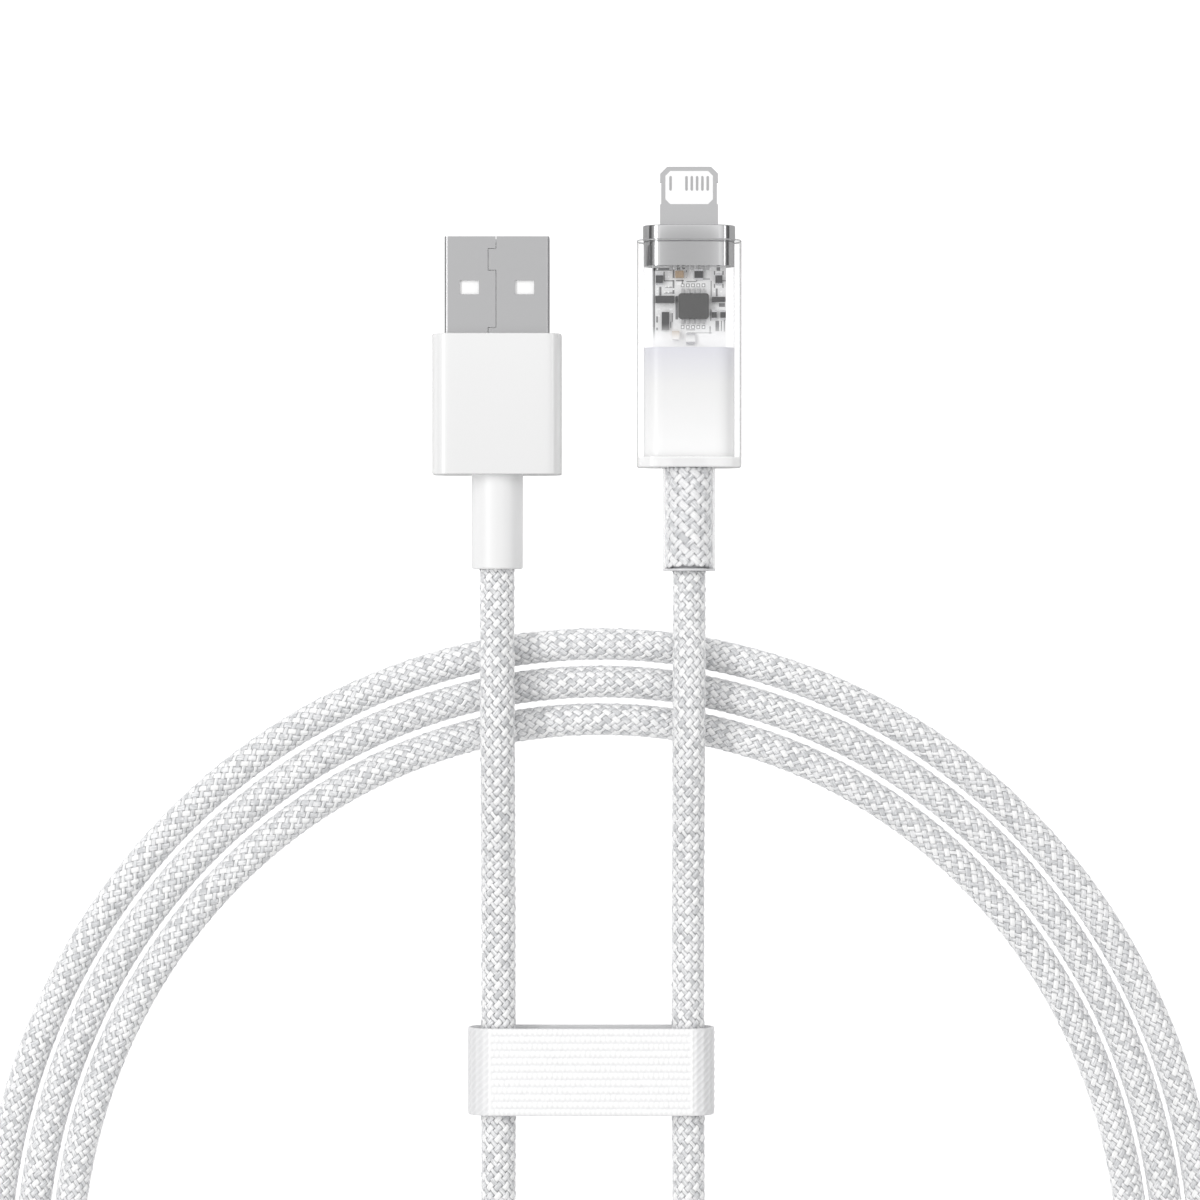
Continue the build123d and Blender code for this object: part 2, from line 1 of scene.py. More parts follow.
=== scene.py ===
import math
import bmesh
import bpy
import numpy as np
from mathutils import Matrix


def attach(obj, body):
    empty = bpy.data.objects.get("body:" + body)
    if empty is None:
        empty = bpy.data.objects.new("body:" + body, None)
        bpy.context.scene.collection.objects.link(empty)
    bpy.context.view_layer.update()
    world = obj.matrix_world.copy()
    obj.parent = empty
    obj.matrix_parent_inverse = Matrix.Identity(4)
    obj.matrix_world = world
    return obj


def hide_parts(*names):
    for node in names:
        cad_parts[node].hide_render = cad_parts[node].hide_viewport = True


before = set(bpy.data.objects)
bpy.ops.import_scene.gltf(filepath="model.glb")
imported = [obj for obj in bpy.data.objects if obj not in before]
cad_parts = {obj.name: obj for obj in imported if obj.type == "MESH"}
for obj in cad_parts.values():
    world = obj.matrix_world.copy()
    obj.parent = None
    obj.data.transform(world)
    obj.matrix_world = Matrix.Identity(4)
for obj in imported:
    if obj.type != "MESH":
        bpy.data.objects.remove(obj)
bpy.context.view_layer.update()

MM = 0.001

# ---- camera ----
# A long lens half a metre straight above the cable, looking down at the plugs and the top of the coil.
# It sees 138 mm of the surface from side to side.
lens_data = bpy.data.cameras.new("camera")
lens_data.lens = 130.0
lens_data.sensor_width = 36.0
lens_data.clip_start = 0.01
lens_data.clip_end = 20.0
camera = bpy.data.objects.new("camera", lens_data)
camera.location = (1.48 * MM, -26.56 * MM, 502.0 * MM)
bpy.context.collection.objects.link(camera)
bpy.context.scene.camera = camera


# ---- cord route ----
# One braided cord runs from the type-A plug down its leg, round an oval coil that lies flat, three strands
# wide, and back over the coil up to the device plug. Its centreline is one smooth NURBS spline.
COIL_CENTRE = (1.5, -104.5)
COIL_HALF_WIDTHS = (61.6, 65.75, 69.9)     # the three strands, inner to outer, in millimetres
COIL_HALF_HEIGHTS = (64.2, 68.55, 72.9)
COIL_POINTS_A_TURN = 30
COIL_START = 206.0            # angles in degrees, anticlockwise from +X
COIL_END = -732.0
LAP_START = -20.0             # where a strand starts to step out to the next
STEP_SWEEP = 134.0            # the angle over which it does so
STRAND_Z = 1.90
STRAP_Z = 2.6
TYPE_A_X = -10.32
DEVICE_X = 11.72
TYPE_A_EXIT = (TYPE_A_X, -23.02, 4.56)
DEVICE_EXIT = (DEVICE_X, -23.22, 4.17)

leg_a = [
    TYPE_A_EXIT,
    (TYPE_A_X, -28.0, 5.08),
    (TYPE_A_X + 0.05, -36.0, 7.0),
    (TYPE_A_X + 0.1, -43.5, 6.8),
    (TYPE_A_X + 0.1, -51.5, 4.9),
    (TYPE_A_X + 0.1, -61.0, STRAP_Z),
    (TYPE_A_X + 0.1, -78.0, STRAP_Z),
    (TYPE_A_X + 0.1, -108.0, STRAP_Z),
    (TYPE_A_X - 1.0, -128.0, 2.2),
    (-19.5, -143.5, STRAND_Z),
    (-36.0, -149.0, STRAND_Z),
    (-50.0, -139.5, STRAND_Z),
]
leg_b = [
    DEVICE_EXIT,
    (DEVICE_X, -27.7, 4.68),
    (DEVICE_X - 0.05, -36.0, 7.0),
    (DEVICE_X - 0.1, -43.5, 6.8),
    (DEVICE_X - 0.1, -51.5, 4.8),
    (DEVICE_X - 0.1, -61.0, STRAP_Z),
    (DEVICE_X - 0.1, -78.0, STRAP_Z),
    (DEVICE_X, -108.0, STRAP_Z),
    (DEVICE_X + 1.0, -128.0, 2.2),
    (20.0, -144.5, STRAND_Z),
    (35.0, -152.0, 3.4),
    (47.5, -150.5, 7.2),
    (58.5, -143.5, 7.2),
    (66.0, -131.0, 3.4),
]


def coil_turns():
    """Control points of the turns. The angle runs clockwise from the lower left; the half width and height
    step from one turn to the next by a smooth step over the lower part. Points stand outside the line by
    one over the cosine of half a step, because the spline cuts inside them."""
    count = int(round((COIL_START - COIL_END) / 360.0 * COIL_POINTS_A_TURN))
    angle = np.linspace(COIL_START, COIL_END, count)
    lap = (LAP_START - angle) / 360.0
    step = np.clip((lap % 1.0) * 360.0 / STEP_SWEEP, 0.0, 1.0)
    turn = np.floor(lap) + step * step * (3.0 - 2.0 * step)
    turn = np.clip(turn, 0.0, 2.0)
    laps = np.arange(3)
    outside = 1.0 / math.cos(math.pi / COIL_POINTS_A_TURN)
    half_width = np.interp(turn, laps, COIL_HALF_WIDTHS) * outside
    half_height = np.interp(turn, laps, COIL_HALF_HEIGHTS) * outside
    x = COIL_CENTRE[0] + half_width * np.cos(np.radians(angle))
    y = COIL_CENTRE[1] + half_height * np.sin(np.radians(angle))
    return np.column_stack([x, y, np.full(count, STRAND_Z)])


def route_line(name, points):
    """The smooth line through a route: a NURBS spline of order 3 on its points, read as a fine polyline."""
    curve = bpy.data.curves.new(name, "CURVE")
    curve.dimensions = "3D"
    curve.resolution_u = 16
    spline = curve.splines.new("NURBS")
    spline.points.add(len(points) - 1)
    homogeneous = np.column_stack([points, np.ones(len(points))])
    spline.points.foreach_set("co", homogeneous.ravel())
    spline.order_u = 3
    spline.use_endpoint_u = True
    holder = bpy.data.objects.new(name, curve)
    bpy.context.collection.objects.link(holder)
    bpy.context.view_layer.update()
    line = bpy.data.meshes.new_from_object(holder)
    flat = np.empty(len(line.vertices) * 3)
    line.vertices.foreach_get("co", flat)
    bpy.data.objects.remove(holder)
    bpy.data.meshes.remove(line)
    return flat.reshape(-1, 3)


def evenly(points, spacing):
    """Points at equal steps of arc length along a polyline, and each one's distance from its start."""
    gaps = np.linalg.norm(np.diff(points, axis=0), axis=1)
    points = points[np.append(True, gaps > 1e-7)]
    distance = np.append(0.0, np.cumsum(gaps[gaps > 1e-7]))
    along = np.linspace(0.0, distance[-1], int(round(distance[-1] / spacing)) + 1)
    return np.column_stack([np.interp(along, distance, points[:, i]) for i in range(3)]), along


def side_and_top(points):
    """Unit vectors across a line that never stands upright. Side is the line's direction crossed with the
    vertical, and so is level, and top is side crossed with the direction."""
    ahead = np.gradient(points, axis=0)
    ahead /= np.linalg.norm(ahead, axis=1)[:, None]
    side = np.cross(ahead, (0.0, 0.0, 1.0))
    side /= np.linalg.norm(side, axis=1)[:, None]
    return side, np.cross(side, ahead)


ROUTE_SPACING = 0.31 * MM
route_points = np.vstack([leg_a, coil_turns(), leg_b[::-1]]) * MM
route, route_along = evenly(route_line("cord_route", route_points), ROUTE_SPACING)
route_side, route_top = side_and_top(route)
cord_length = float(route_along[-1])
print("cord length", round(cord_length, 4))


def sleeve_radius(along):
    """The braid's outer radius: it bunches a little thicker on the type-A leg and settles in the coil."""
    stations = np.array([0.0, 0.09, 0.12, cord_length - 0.2, cord_length - 0.1, cord_length])
    radii = np.array([2.05, 2.05, 1.90, 1.90, 1.94, 1.94]) * MM
    return np.interp(along, stations, radii)


# ---- cord core ----
# Under the braid the cord is a smooth vinyl jacket round its conductors. It shows only as the dark of
# the small gaps between the yarns.
def linear(hex_colour):
    """sRGB hex to a linear RGBA tuple: the standard two-part curve, channel by channel."""
    channels = [int(hex_colour[i:i + 2], 16) / 255 for i in (1, 3, 5)]
    return (*[c / 12.92 if c <= 0.04045 else ((c + 0.055) / 1.055) ** 2.4 for c in channels], 1.0)


def add(tree, kind, settings=None, links=None):
    """Adds one shader node, sets its values and links its inputs from other sockets."""
    node = tree.nodes.new(kind)
    for key, value in (settings or {}).items():
        if isinstance(key, str) and hasattr(node, key):
            setattr(node, key, value)
        else:
            node.inputs[key].default_value = value
    for key, socket in (links or {}).items():
        tree.links.new(socket, node.inputs[key])
    return node


def finish_of(name, **settings):
    """A new material with one Principled shader; returns the material, its node tree and the shader."""
    material = bpy.data.materials.new(name)
    material.use_nodes = True
    tree = material.node_tree
    shader = tree.nodes["Principled BSDF"]
    for key, value in settings.items():
        shader.inputs[key.replace("_", " ")].default_value = value
    return material, tree, shader


def grid_mesh(name, points, close_u=False, close_v=False, caps=False, uv=None, smooth=True):
    """A mesh from a rows by columns array of points: one quad between each four neighbours. close_u joins
    the last row to the first, close_v the last column to the first, and caps fills the two end rows."""
    rows, columns = points.shape[:2]
    r = np.arange(rows if close_u else rows - 1)
    c = np.arange(columns if close_v else columns - 1)
    a, b = np.meshgrid(r, c, indexing="ij")
    a2, b2 = (a + 1) % rows, (b + 1) % columns
    quads = np.stack([a * columns + b, a * columns + b2, a2 * columns + b2, a2 * columns + b],
                     axis=-1).reshape(-1, 4)
    faces = quads.tolist()
    if caps:
        faces.append(list(range(columns))[::-1])
        faces.append([(rows - 1) * columns + i for i in range(columns)])
    mesh = bpy.data.meshes.new(name)
    mesh.from_pydata(points.reshape(-1, 3).tolist(), [], faces)
    if uv is not None:
        corners = np.concatenate([np.array(face) for face in faces]) if caps else quads.ravel()
        corner_uv = uv.reshape(-1, 2)[corners]
        layer = mesh.uv_layers.new(name="UVMap")
        layer.data.foreach_set("uv", corner_uv.astype(np.float32).ravel())
    if smooth:
        mesh.shade_smooth()
    return mesh


def place(name, mesh, material, body, *nodes):
    """Links a finished mesh as a piece on its body, with its finish, and hides the CAD nodes it stands for.
    Its faces are turned outwards first."""
    shell = bmesh.new()
    shell.from_mesh(mesh)
    bmesh.ops.recalc_face_normals(shell, faces=shell.faces[:])
    shell.to_mesh(mesh)
    shell.free()
    piece = bpy.data.objects.new(name, mesh)
    bpy.context.collection.objects.link(piece)
    piece.data.materials.clear()
    piece.data.materials.append(material)
    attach(piece, body)
    if nodes:
        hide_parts(*nodes)
    return piece


CORE_SIDES = 14
CORE_STEP = 3                 # it has a ring at every third point of the route
CORE_DEPTH = 0.32 * MM        # how far the jacket lies inside the braid
# vinyl: smooth, mid grey once the braid shades it
core_finish, _, _ = finish_of("vinyl jacket, extruded", Base_Color=linear("#C9CACC"), Roughness=0.6)
core_at = np.arange(0, len(route), CORE_STEP)
core_turn = np.linspace(0.0, 2.0 * np.pi, CORE_SIDES, endpoint=False)
core_radius = sleeve_radius(route_along[core_at]) - CORE_DEPTH
# a ring is a circle in the two directions across the route
core_points = (route[core_at, None] + core_radius[:, None, None]
               * (np.cos(core_turn)[None, :, None] * route_side[core_at, None]
                  + np.sin(core_turn)[None, :, None] * route_top[core_at, None]))
cord = place("cord", grid_mesh("cord", core_points, close_v=True, caps=True), core_finish, "cable",
             "cord_type_a_leg", "cord_coil", "cord_device_leg")

# ---- braid ----
# Twenty-four polyester yarns, twelve each way round, woven over the jacket on a braiding machine. Each
# passes over one and under the next. Those of the left-leaning set are pulled less, so they stand higher
# and wider.
YARNS_EACH_WAY = 12
LEAD = 13.2 * MM              # length of cord in which a yarn goes once round
YARN_RISE = 0.07 * MM         # half the height between a yarn on top and one underneath
YARN_PLACES = np.array([-0.5, -0.26, 0.0, 0.26, 0.5])              # across a yarn, in shares of its width
YARN_ARCH = np.array([-0.24, -0.03, 0.0, -0.03, -0.24]) * MM       # its height at those places
YARN_SHIFT = 37.0             # millimetres by which each yarn's pattern is moved on from the last one's


def braid_yarns(name, sense, yarns, line, along, radius, lead, width, low=0.0):
    """Some yarns of one direction. A yarn's angle round the line is 2 pi times distance over lead, plus its
    own start. Its height is a cosine that tops at every second crossing, and low sets it deeper. The UV map
    holds millimetres along it and share across it, and the lift attribute holds the cosine."""
    line_side, line_top = side_and_top(line)
    turn = 2.0 * np.pi * along / lead
    lean = np.arctan2(2 * np.pi * radius * sense, lead)
    strips = []
    for k in yarns:
        angle = sense * turn + 2.0 * np.pi * k / YARNS_EACH_WAY
        wave = -sense * np.cos(angle * YARNS_EACH_WAY)
        crown = radius - low - YARN_RISE * (1.0 - wave)
        height = crown[:, None] + YARN_ARCH[None, :]
        total = angle[:, None] + YARN_PLACES[None, :] * (width * np.cos(lean) / radius)[:, None]
        at = along[:, None] - YARN_PLACES[None, :] * (width * np.sin(lean))[:, None]
        at = np.clip(at, 0.0, along[-1])
        centre = np.stack([np.interp(at, along, line[:, i]) for i in range(3)], axis=-1)
        side = np.stack([np.interp(at, along, line_side[:, i]) for i in range(3)], axis=-1)
        top = np.stack([np.interp(at, along, line_top[:, i]) for i in range(3)], axis=-1)
        outwards = np.cos(total)[..., None] * side + np.sin(total)[..., None] * top
        points = centre + height[..., None] * outwards
        u = np.broadcast_to((along / MM)[:, None] + YARN_SHIFT * k, at.shape)
        v = np.broadcast_to(YARN_PLACES + 0.5, at.shape)
        strip = grid_mesh(name, points, close_v=True, caps=True, uv=np.stack([u, v], axis=-1))
        lift = strip.attributes.new("lift", "FLOAT", "POINT")
        lift.data.foreach_set("value", np.repeat(0.5 + 0.5 * wave, len(YARN_PLACES)).astype(np.float32))
        strips.append(strip)
    return join_meshes(name, strips)


def join_meshes(name, meshes):
    """One mesh from several, by joining their objects."""
    pieces = []
    for mesh in meshes:
        piece = bpy.data.objects.new(name, mesh)
        bpy.context.collection.objects.link(piece)
        pieces.append(piece)
    with bpy.context.temp_override(active_object=pieces[0], selected_editable_objects=pieces,
                                   selected_objects=pieces, object=pieces[0]):
        bpy.ops.object.join()
    joined = pieces[0].data
    bpy.data.objects.remove(pieces[0])
    return joined


def braid_finish(name, bright, shade, dark):
    """Filament yarn: streaks along it, and bright patches about a millimetre long, a painted highlight where
    filaments lie flat and shiny. The dark colour is painted shade where it tucks under: at its edges, in the
    groove between its two ends, and low in its wave. Filaments are too fine to show, so a streak is drawn an
    eighth of the yarn wide."""
    material, tree, shader = finish_of(name, Roughness=0.5, Sheen_Weight=0.15)
    place_uv = add(tree, "ShaderNodeUVMap", {"uv_map": "UVMap"})
    lengths = add(tree, "ShaderNodeMapping", {"Scale": (1.1, 0.6, 1.0)}, {"Vector": place_uv.outputs[0]})
    # painted highlight: bright patches along the yarn
    patches = add(tree, "ShaderNodeTexNoise", {"Scale": 1.0, "Detail": 1.0}, {"Vector": lengths.outputs[0]})
    streak_scale = add(tree, "ShaderNodeMapping", {"Scale": (1.6, 8.0, 1.0)},
                       {"Vector": place_uv.outputs[0]})
    streaks = add(tree, "ShaderNodeTexNoise", {"Scale": 1.0, "Detail": 2.0},
                  {"Vector": streak_scale.outputs[0]})
    both = add(tree, "ShaderNodeMix", {0: 0.5}, {2: patches.outputs["Fac"], 3: streaks.outputs["Fac"]})
    ramp = add(tree, "ShaderNodeValToRGB", {}, {"Fac": both.outputs[0]})
    ramp.color_ramp.elements[0].position = 0.44
    ramp.color_ramp.elements[0].color = linear(shade)
    ramp.color_ramp.elements[1].position = 0.56
    ramp.color_ramp.elements[1].color = linear(bright)
    split = add(tree, "ShaderNodeSeparateXYZ", {}, {"Vector": place_uv.outputs[0]})
    centred = add(tree, "ShaderNodeMath", {"operation": "SUBTRACT", 1: 0.5}, {0: split.outputs["Y"]})
    distance = add(tree, "ShaderNodeMath", {"operation": "ABSOLUTE"}, {0: centred.outputs[0]})
    # painted shade at the yarn's edges and in the groove down its middle
    edge = add(tree, "ShaderNodeMapRange", {"From Min": 0.29, "From Max": 0.47},
               {"Value": distance.outputs[0]})
    groove = add(tree, "ShaderNodeMapRange", {"From Min": 0.06, "From Max": 0.0, "To Max": 0.2},
                 {"Value": distance.outputs[0]})
    lift = add(tree, "ShaderNodeAttribute", {"attribute_name": "lift"})
    # painted shade where the yarn dips low in its wave
    dip_shade = add(tree, "ShaderNodeMapRange", {"From Min": 0.50, "From Max": 0.12},
               {"Value": lift.outputs["Fac"]})
    gap_shade = add(tree, "ShaderNodeMath", {"operation": "MAXIMUM"},
                     {0: edge.outputs[0], 1: groove.outputs[0]})
    painted_shade_share = add(tree, "ShaderNodeMath", {"operation": "MAXIMUM"},
                   {0: gap_shade.outputs[0], 1: dip_shade.outputs[0]})
    # the dark colour goes in here as painted shade
    mixed = add(tree, "ShaderNodeMix", {"data_type": "RGBA", 7: linear(dark)},
                {0: painted_shade_share.outputs[0], 6: ramp.outputs[0]})
    tree.links.new(mixed.outputs[2], shader.inputs["Base Color"])
    return material


# piece, direction round the cord, first yarn (then every second), width, depth, colours from bright to dark.
# The grey pieces are a shaded copy of the white yarn, painted shade, and each dark colour is painted shade
# in the gaps and dips
BRAIDS = (
    ("braid_lean_left_white", -1, 1, 0.92, 0.0, ("#FFFFFF", "#FAFAFA", "#8F9092")),
    ("braid_lean_left_grey", -1, 0, 0.90, 0.0, ("#F8F8F9", "#D0D1D3", "#838486")),
    ("braid_lean_right_white", 1, 1, 0.62, 0.02, ("#FFFFFF", "#DEDFE1", "#858688")),
    ("braid_lean_right_grey", 1, 0, 0.62, 0.02, ("#FAFAFB", "#CDCED0", "#818284")),
)
for name, sense, first, width, low, colours in BRAIDS:
    finish = braid_finish("polyester yarn, braided, " + name[6:].replace("_", " "), *colours)
    for half in (0, 1):       # two pieces for each, to keep their meshes of a moderate size
        part = f"{name}_{half + 1}"
        yarns = braid_yarns(part, sense, range(first + 2 * half, YARNS_EACH_WAY, 4), route, route_along,
                            sleeve_radius(route_along), LEAD, width * MM, low * MM)
        place(part, yarns, finish, "cable")


# ---- strap ----
# A self-gripping tape closed into a loop round both legs: white nylon, woven, with rows of small loops on
# its outer side. Its ends turn on a small radius, where the woven ground shows between the loops.
STRAP_X = 0.45
STRAP_WIDTH = 28.5
STRAP_HEIGHT = 5.4
STRAP_BAND = 0.4
STRAP_TURN = STRAP_HEIGHT / 2 - 0.11        # the radius on which the ends turn
SKIN_DEPTH = 0.1              # how far the ground of the weave lies inside the strap's stated size
STRAP_REAR_Y = -85.7
STRAP_LENGTH = 10.0
LOOP_ROWS = 12
LOOP_PITCH = 0.58             # from one loop to the next along a row
LOOP_RISE = 0.20
RIB_X = 11.6                  # where the flat of the tape ends and its turn begins
RIB_RISE = 0.16
RIB_SPREAD = 0.14
TURN_SHADE_X = 13.6            # where the painted shade round the side of the turn is at its darkest
TURN_BLEND = 0.3              # the loops fade out over this much, next to the turn
LATTICE_PITCH = 0.9           # of the woven ground on the turns
STROKE_PITCH = 0.85
HEM = 0.5                     # the loops fade out over this much at the tape's two edges
BACK_RISE = 0.03
BACK_PITCH = 1.7
MESH_STEP = 0.115             # round the loop
OUTER_COLUMNS = 97            # across the tape
INNER_COLUMNS = 25


def outline(width, height, corner, spacing):
    """A rounded rectangle in X and Z with evenly spaced points, and the outward direction at each."""
    steps = 40
    quarter = np.linspace(0.0, np.pi / 2, steps)
    turn = (quarter + np.arange(4)[:, None] * np.pi / 2).ravel()
    x = (width / 2 - corner) * np.repeat((1, -1, -1, 1), steps) + corner * np.cos(turn)
    z = (height / 2 - corner) * np.repeat((1, 1, -1, -1), steps) + corner * np.sin(turn)
    closed = np.column_stack([np.append(x, x[0]), np.zeros(4 * steps + 1), np.append(z, z[0])])
    points, around = evenly(closed, spacing)
    points, around = points[:-1], around[:-1]
    ahead = np.roll(points, -1, axis=0) - np.roll(points, 1, axis=0)
    out = np.stack([ahead[:, 2], np.zeros(len(points)), -ahead[:, 0]], axis=-1)
    return points, around, out / np.linalg.norm(out, axis=1)[:, None]


def strap_mesh():
    """Outer skin and inner skin of the loop as one grid, round the loop by across the tape. On the flats
    the outer skin rises in staggered wedges: a skewed half sine along a row times a half sine across it. On
    the turns it is a lattice: ribs across the tape and slanting strokes between them. A higher rib stands
    where they meet. The loops attribute is painted light and shade for the finish: whitest on the tops of
    the loops and on the rib, greyer in the hollows between them and round the side of the turns."""
    base, around, out = outline(STRAP_WIDTH - 2 * SKIN_DEPTH, STRAP_HEIGHT - 2 * SKIN_DEPTH, STRAP_TURN,
                                MESH_STEP)
    across = np.linspace(0.0, STRAP_LENGTH, OUTER_COLUMNS)
    u, v = np.meshgrid(around, across, indexing="ij")
    row = v / STRAP_LENGTH * LOOP_ROWS
    lane = np.minimum(np.floor(row), LOOP_ROWS - 1)
    in_row = row - lane
    column = u / LOOP_PITCH + 0.5 * (lane % 2)
    in_column = column - np.floor(column)
    wedge = (0.35 + 0.65 * np.sin(np.pi * in_column ** 0.6)) * np.sin(np.pi * in_row) ** 0.5
    ribs = 0.5 + 0.5 * np.cos(2 * np.pi * u / LATTICE_PITCH)
    strokes = np.maximum(0.0, np.cos(2 * np.pi * (v / STROKE_PITCH + u / LATTICE_PITCH)))
    lattice = 0.45 * ribs ** 2 + 0.55 * strokes
    x = np.abs(base[:, 0])[:, None]
    flat = np.clip((RIB_X - x) / TURN_BLEND, 0.0, 1.0)
    rib = np.exp(-((x - RIB_X) / RIB_SPREAD) ** 2)
    rise = LOOP_RISE * (flat * wedge + (1 - flat) * 0.6 * lattice) + RIB_RISE * rib
    hem = np.sin(np.pi * np.clip(np.minimum(v, STRAP_LENGTH - v) / HEM, 0, 1) / 2)
    outer = base[:, None] + out[:, None] * (rise * hem)[..., None]
    outer[..., 1] = v
    inner_y = np.linspace(STRAP_LENGTH, 0.0, INNER_COLUMNS)
    inner_wave = (BACK_RISE * np.sin(2 * np.pi * around / LATTICE_PITCH)[:, None]
                  * np.sin(2 * np.pi * inner_y / BACK_PITCH)[None, :])
    inner = base[:, None] + out[:, None] * (inner_wave - STRAP_BAND + SKIN_DEPTH)[..., None]
    inner[..., 1] = inner_y[None, :]
    points = np.concatenate([outer, inner], axis=1) + (STRAP_X, STRAP_REAR_Y, STRAP_HEIGHT / 2)
    points[..., 2] = np.maximum(points[..., 2], 0.0)        # the loops underneath are pressed flat
    mesh = grid_mesh("strap", points * MM, close_u=True, close_v=True)
    # painted shade and light: darker round the side of the turns and in the hollows, lighter on the loop tops
    # and the rib
    turn_side_light = np.clip((TURN_SHADE_X - x) / 2, 0, 1)
    outer_shading = flat * (0.40 + 0.60 * wedge) + (1 - flat) * (0.4 * lattice + 0.4 * turn_side_light) + 0.5 * rib
    stands = np.concatenate([outer_shading, 0 * inner[..., 0]], axis=1)
    loops = mesh.attributes.new("loops", "FLOAT", "POINT")
    loops.data.foreach_set("value", stands.astype(np.float32).ravel())
    return mesh


def moulded(name, colour, shade, roughness, grit, **settings):
    """A finish with a fine even grit of a given size in millimetres, such as a mould's spark-eroded skin. One
    noise pattern shifts its colour, its roughness by a fifth either way, and its height."""
    material, tree, shader = finish_of(name, **settings)
    place_on = add(tree, "ShaderNodeTexCoord")
    texture = add(tree, "ShaderNodeTexNoise", {"Scale": 1.0 / (grit * MM), "Detail": 2.0, "Roughness": 0.5},
                  {"Vector": place_on.outputs["Object"]})
    tint = add(tree, "ShaderNodeMix", {"data_type": "RGBA", 6: linear(colour), 7: linear(shade)},
               {0: texture.outputs["Fac"]})
    polish = add(tree, "ShaderNodeMapRange", {"To Min": roughness * 0.8, "To Max": roughness * 1.2},
                 {"Value": texture.outputs["Fac"]})
    bump = add(tree, "ShaderNodeBump", {"Strength": 0.06, "Distance": 0.00001},
               {"Height": texture.outputs["Fac"]})
    tree.links.new(tint.outputs[2], shader.inputs["Base Color"])
    tree.links.new(polish.outputs[0], shader.inputs["Roughness"])
    tree.links.new(bump.outputs["Normal"], shader.inputs["Normal"])
    return material


# nylon, woven: matt white with a soft sheen, and threads a quarter of a millimetre apart
strap_finish, tree, shader = finish_of("nylon tape, woven with loops", Roughness=0.8, Sheen_Weight=0.2)
place_on = add(tree, "ShaderNodeTexCoord")
threads = add(tree, "ShaderNodeTexNoise", {"Scale": 4000.0, "Detail": 3.0, "Roughness": 0.6},
              {"Vector": place_on.outputs["Object"]})
# the loops attribute brings painted shade and a painted highlight; the threads add the tape's own fine tone
loop_shade = add(tree, "ShaderNodeAttribute", {"attribute_name": "loops"})
thread_share = add(tree, "ShaderNodeMath", {"operation": "MULTIPLY_ADD", 1: 0.25, 2: -0.12},
                   {0: threads.outputs["Fac"]})
whiteness = add(tree, "ShaderNodeMath", {"operation": "ADD"},
                {0: loop_shade.outputs["Fac"], 1: thread_share.outputs[0]})
thread_colour = add(tree, "ShaderNodeValToRGB", {}, {"Fac": whiteness.outputs[0]})
# colours from the painted shade round the turns, through the grey of the hollows, to the white tops
thread_colour.color_ramp.elements.new(0.40)
for element, (height, colour) in zip(thread_colour.color_ramp.elements,
                                     ((0.0, "#DADADB"), (0.38, "#E9E9EA"), (0.86, "#FFFFFF"))):
    element.position = height
    element.color = linear(colour)
fuzz = add(tree, "ShaderNodeBump", {"Strength": 0.15, "Distance": 0.00004},
           {"Height": threads.outputs["Fac"]})
tree.links.new(thread_colour.outputs["Color"], shader.inputs["Base Color"])
tree.links.new(fuzz.outputs["Normal"], shader.inputs["Normal"])
strap = place("strap", strap_mesh(), strap_finish, "strap", "strap_band")
# the tape's back is plain knitting, and its grey is painted shade from the loop over it
strap.data.materials.append(moulded("nylon tape, knitted back", "#C4C4C6", "#AAAAAD", 0.8, 0.25))
COLUMNS = OUTER_COLUMNS + INNER_COLUMNS
grid_column = np.tile(np.arange(COLUMNS), len(strap.data.polygons) // COLUMNS)
strap.data.polygons.foreach_set("material_index", (grid_column > OUTER_COLUMNS).astype(np.int32))


# ---- type-A shell and insides ----
# The shell is stainless strip, folded round the moulded contact block and locked by a stepped seam. Inside
# the grip a pressed can, a crimp ring and a stiff inner moulding hold it to the cord.
def dress(finish, *nodes):
    """Puts one finish on every material slot of the given CAD nodes."""
    for node in nodes:
        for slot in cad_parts[node].material_slots:
            slot.material = finish


def metal(name, colour, worn_colour, roughness, grain):
    """Metal with a grain: noise stretched to the grain's size along X, Y and Z in millimetres. It shifts the
    colour, the roughness by a fifth either way, and the height."""
    material, tree, shader = finish_of(name, Metallic=1.0)
    place_on = add(tree, "ShaderNodeTexCoord")
    stretched = add(tree, "ShaderNodeMapping", {"Scale": [1.0 / (size * MM) for size in grain]},
                    {"Vector": place_on.outputs["Object"]})
    lines = add(tree, "ShaderNodeTexNoise", {"Scale": 1.0, "Detail": 3.0, "Roughness": 0.6},
                {"Vector": stretched.outputs[0]})
    tint = add(tree, "ShaderNodeMix", {"data_type": "RGBA", 6: linear(colour), 7: linear(worn_colour)},
               {0: lines.outputs["Fac"]})
    polish = add(tree, "ShaderNodeMapRange", {"To Min": roughness * 0.8, "To Max": roughness * 1.2},
                 {"Value": lines.outputs["Fac"]})
    bump = add(tree, "ShaderNodeBump", {"Strength": 0.08, "Distance": 0.000005},
               {"Height": lines.outputs["Fac"]})
    tree.links.new(tint.outputs[2], shader.inputs["Base Color"])
    tree.links.new(polish.outputs[0], shader.inputs["Roughness"])
    tree.links.new(bump.outputs["Normal"], shader.inputs["Normal"])
    return material


# rolled strip: satin grey, its fine grain along the plug
dress(metal("stainless steel, rolled and folded", "#C2C2C3", "#C0C0C1", 0.36, (0.05, 0.9, 0.05)),
      "type_a_shell")
# the same strip, pressed and a little shinier
dress(metal("stainless steel, pressed", "#D2D2D3", "#C2C2C4", 0.3, (0.08, 0.6, 0.08)),
      "type_a_rear_shield", "type_a_crimp", "device_crimp")
# bright white and smooth, with a fine moulding grit
dress(moulded("PBT, moulded white", "#FFFFFF", "#FBFBFB", 0.35, 0.08),
      "type_a_insulator", "device_contact_carrier")
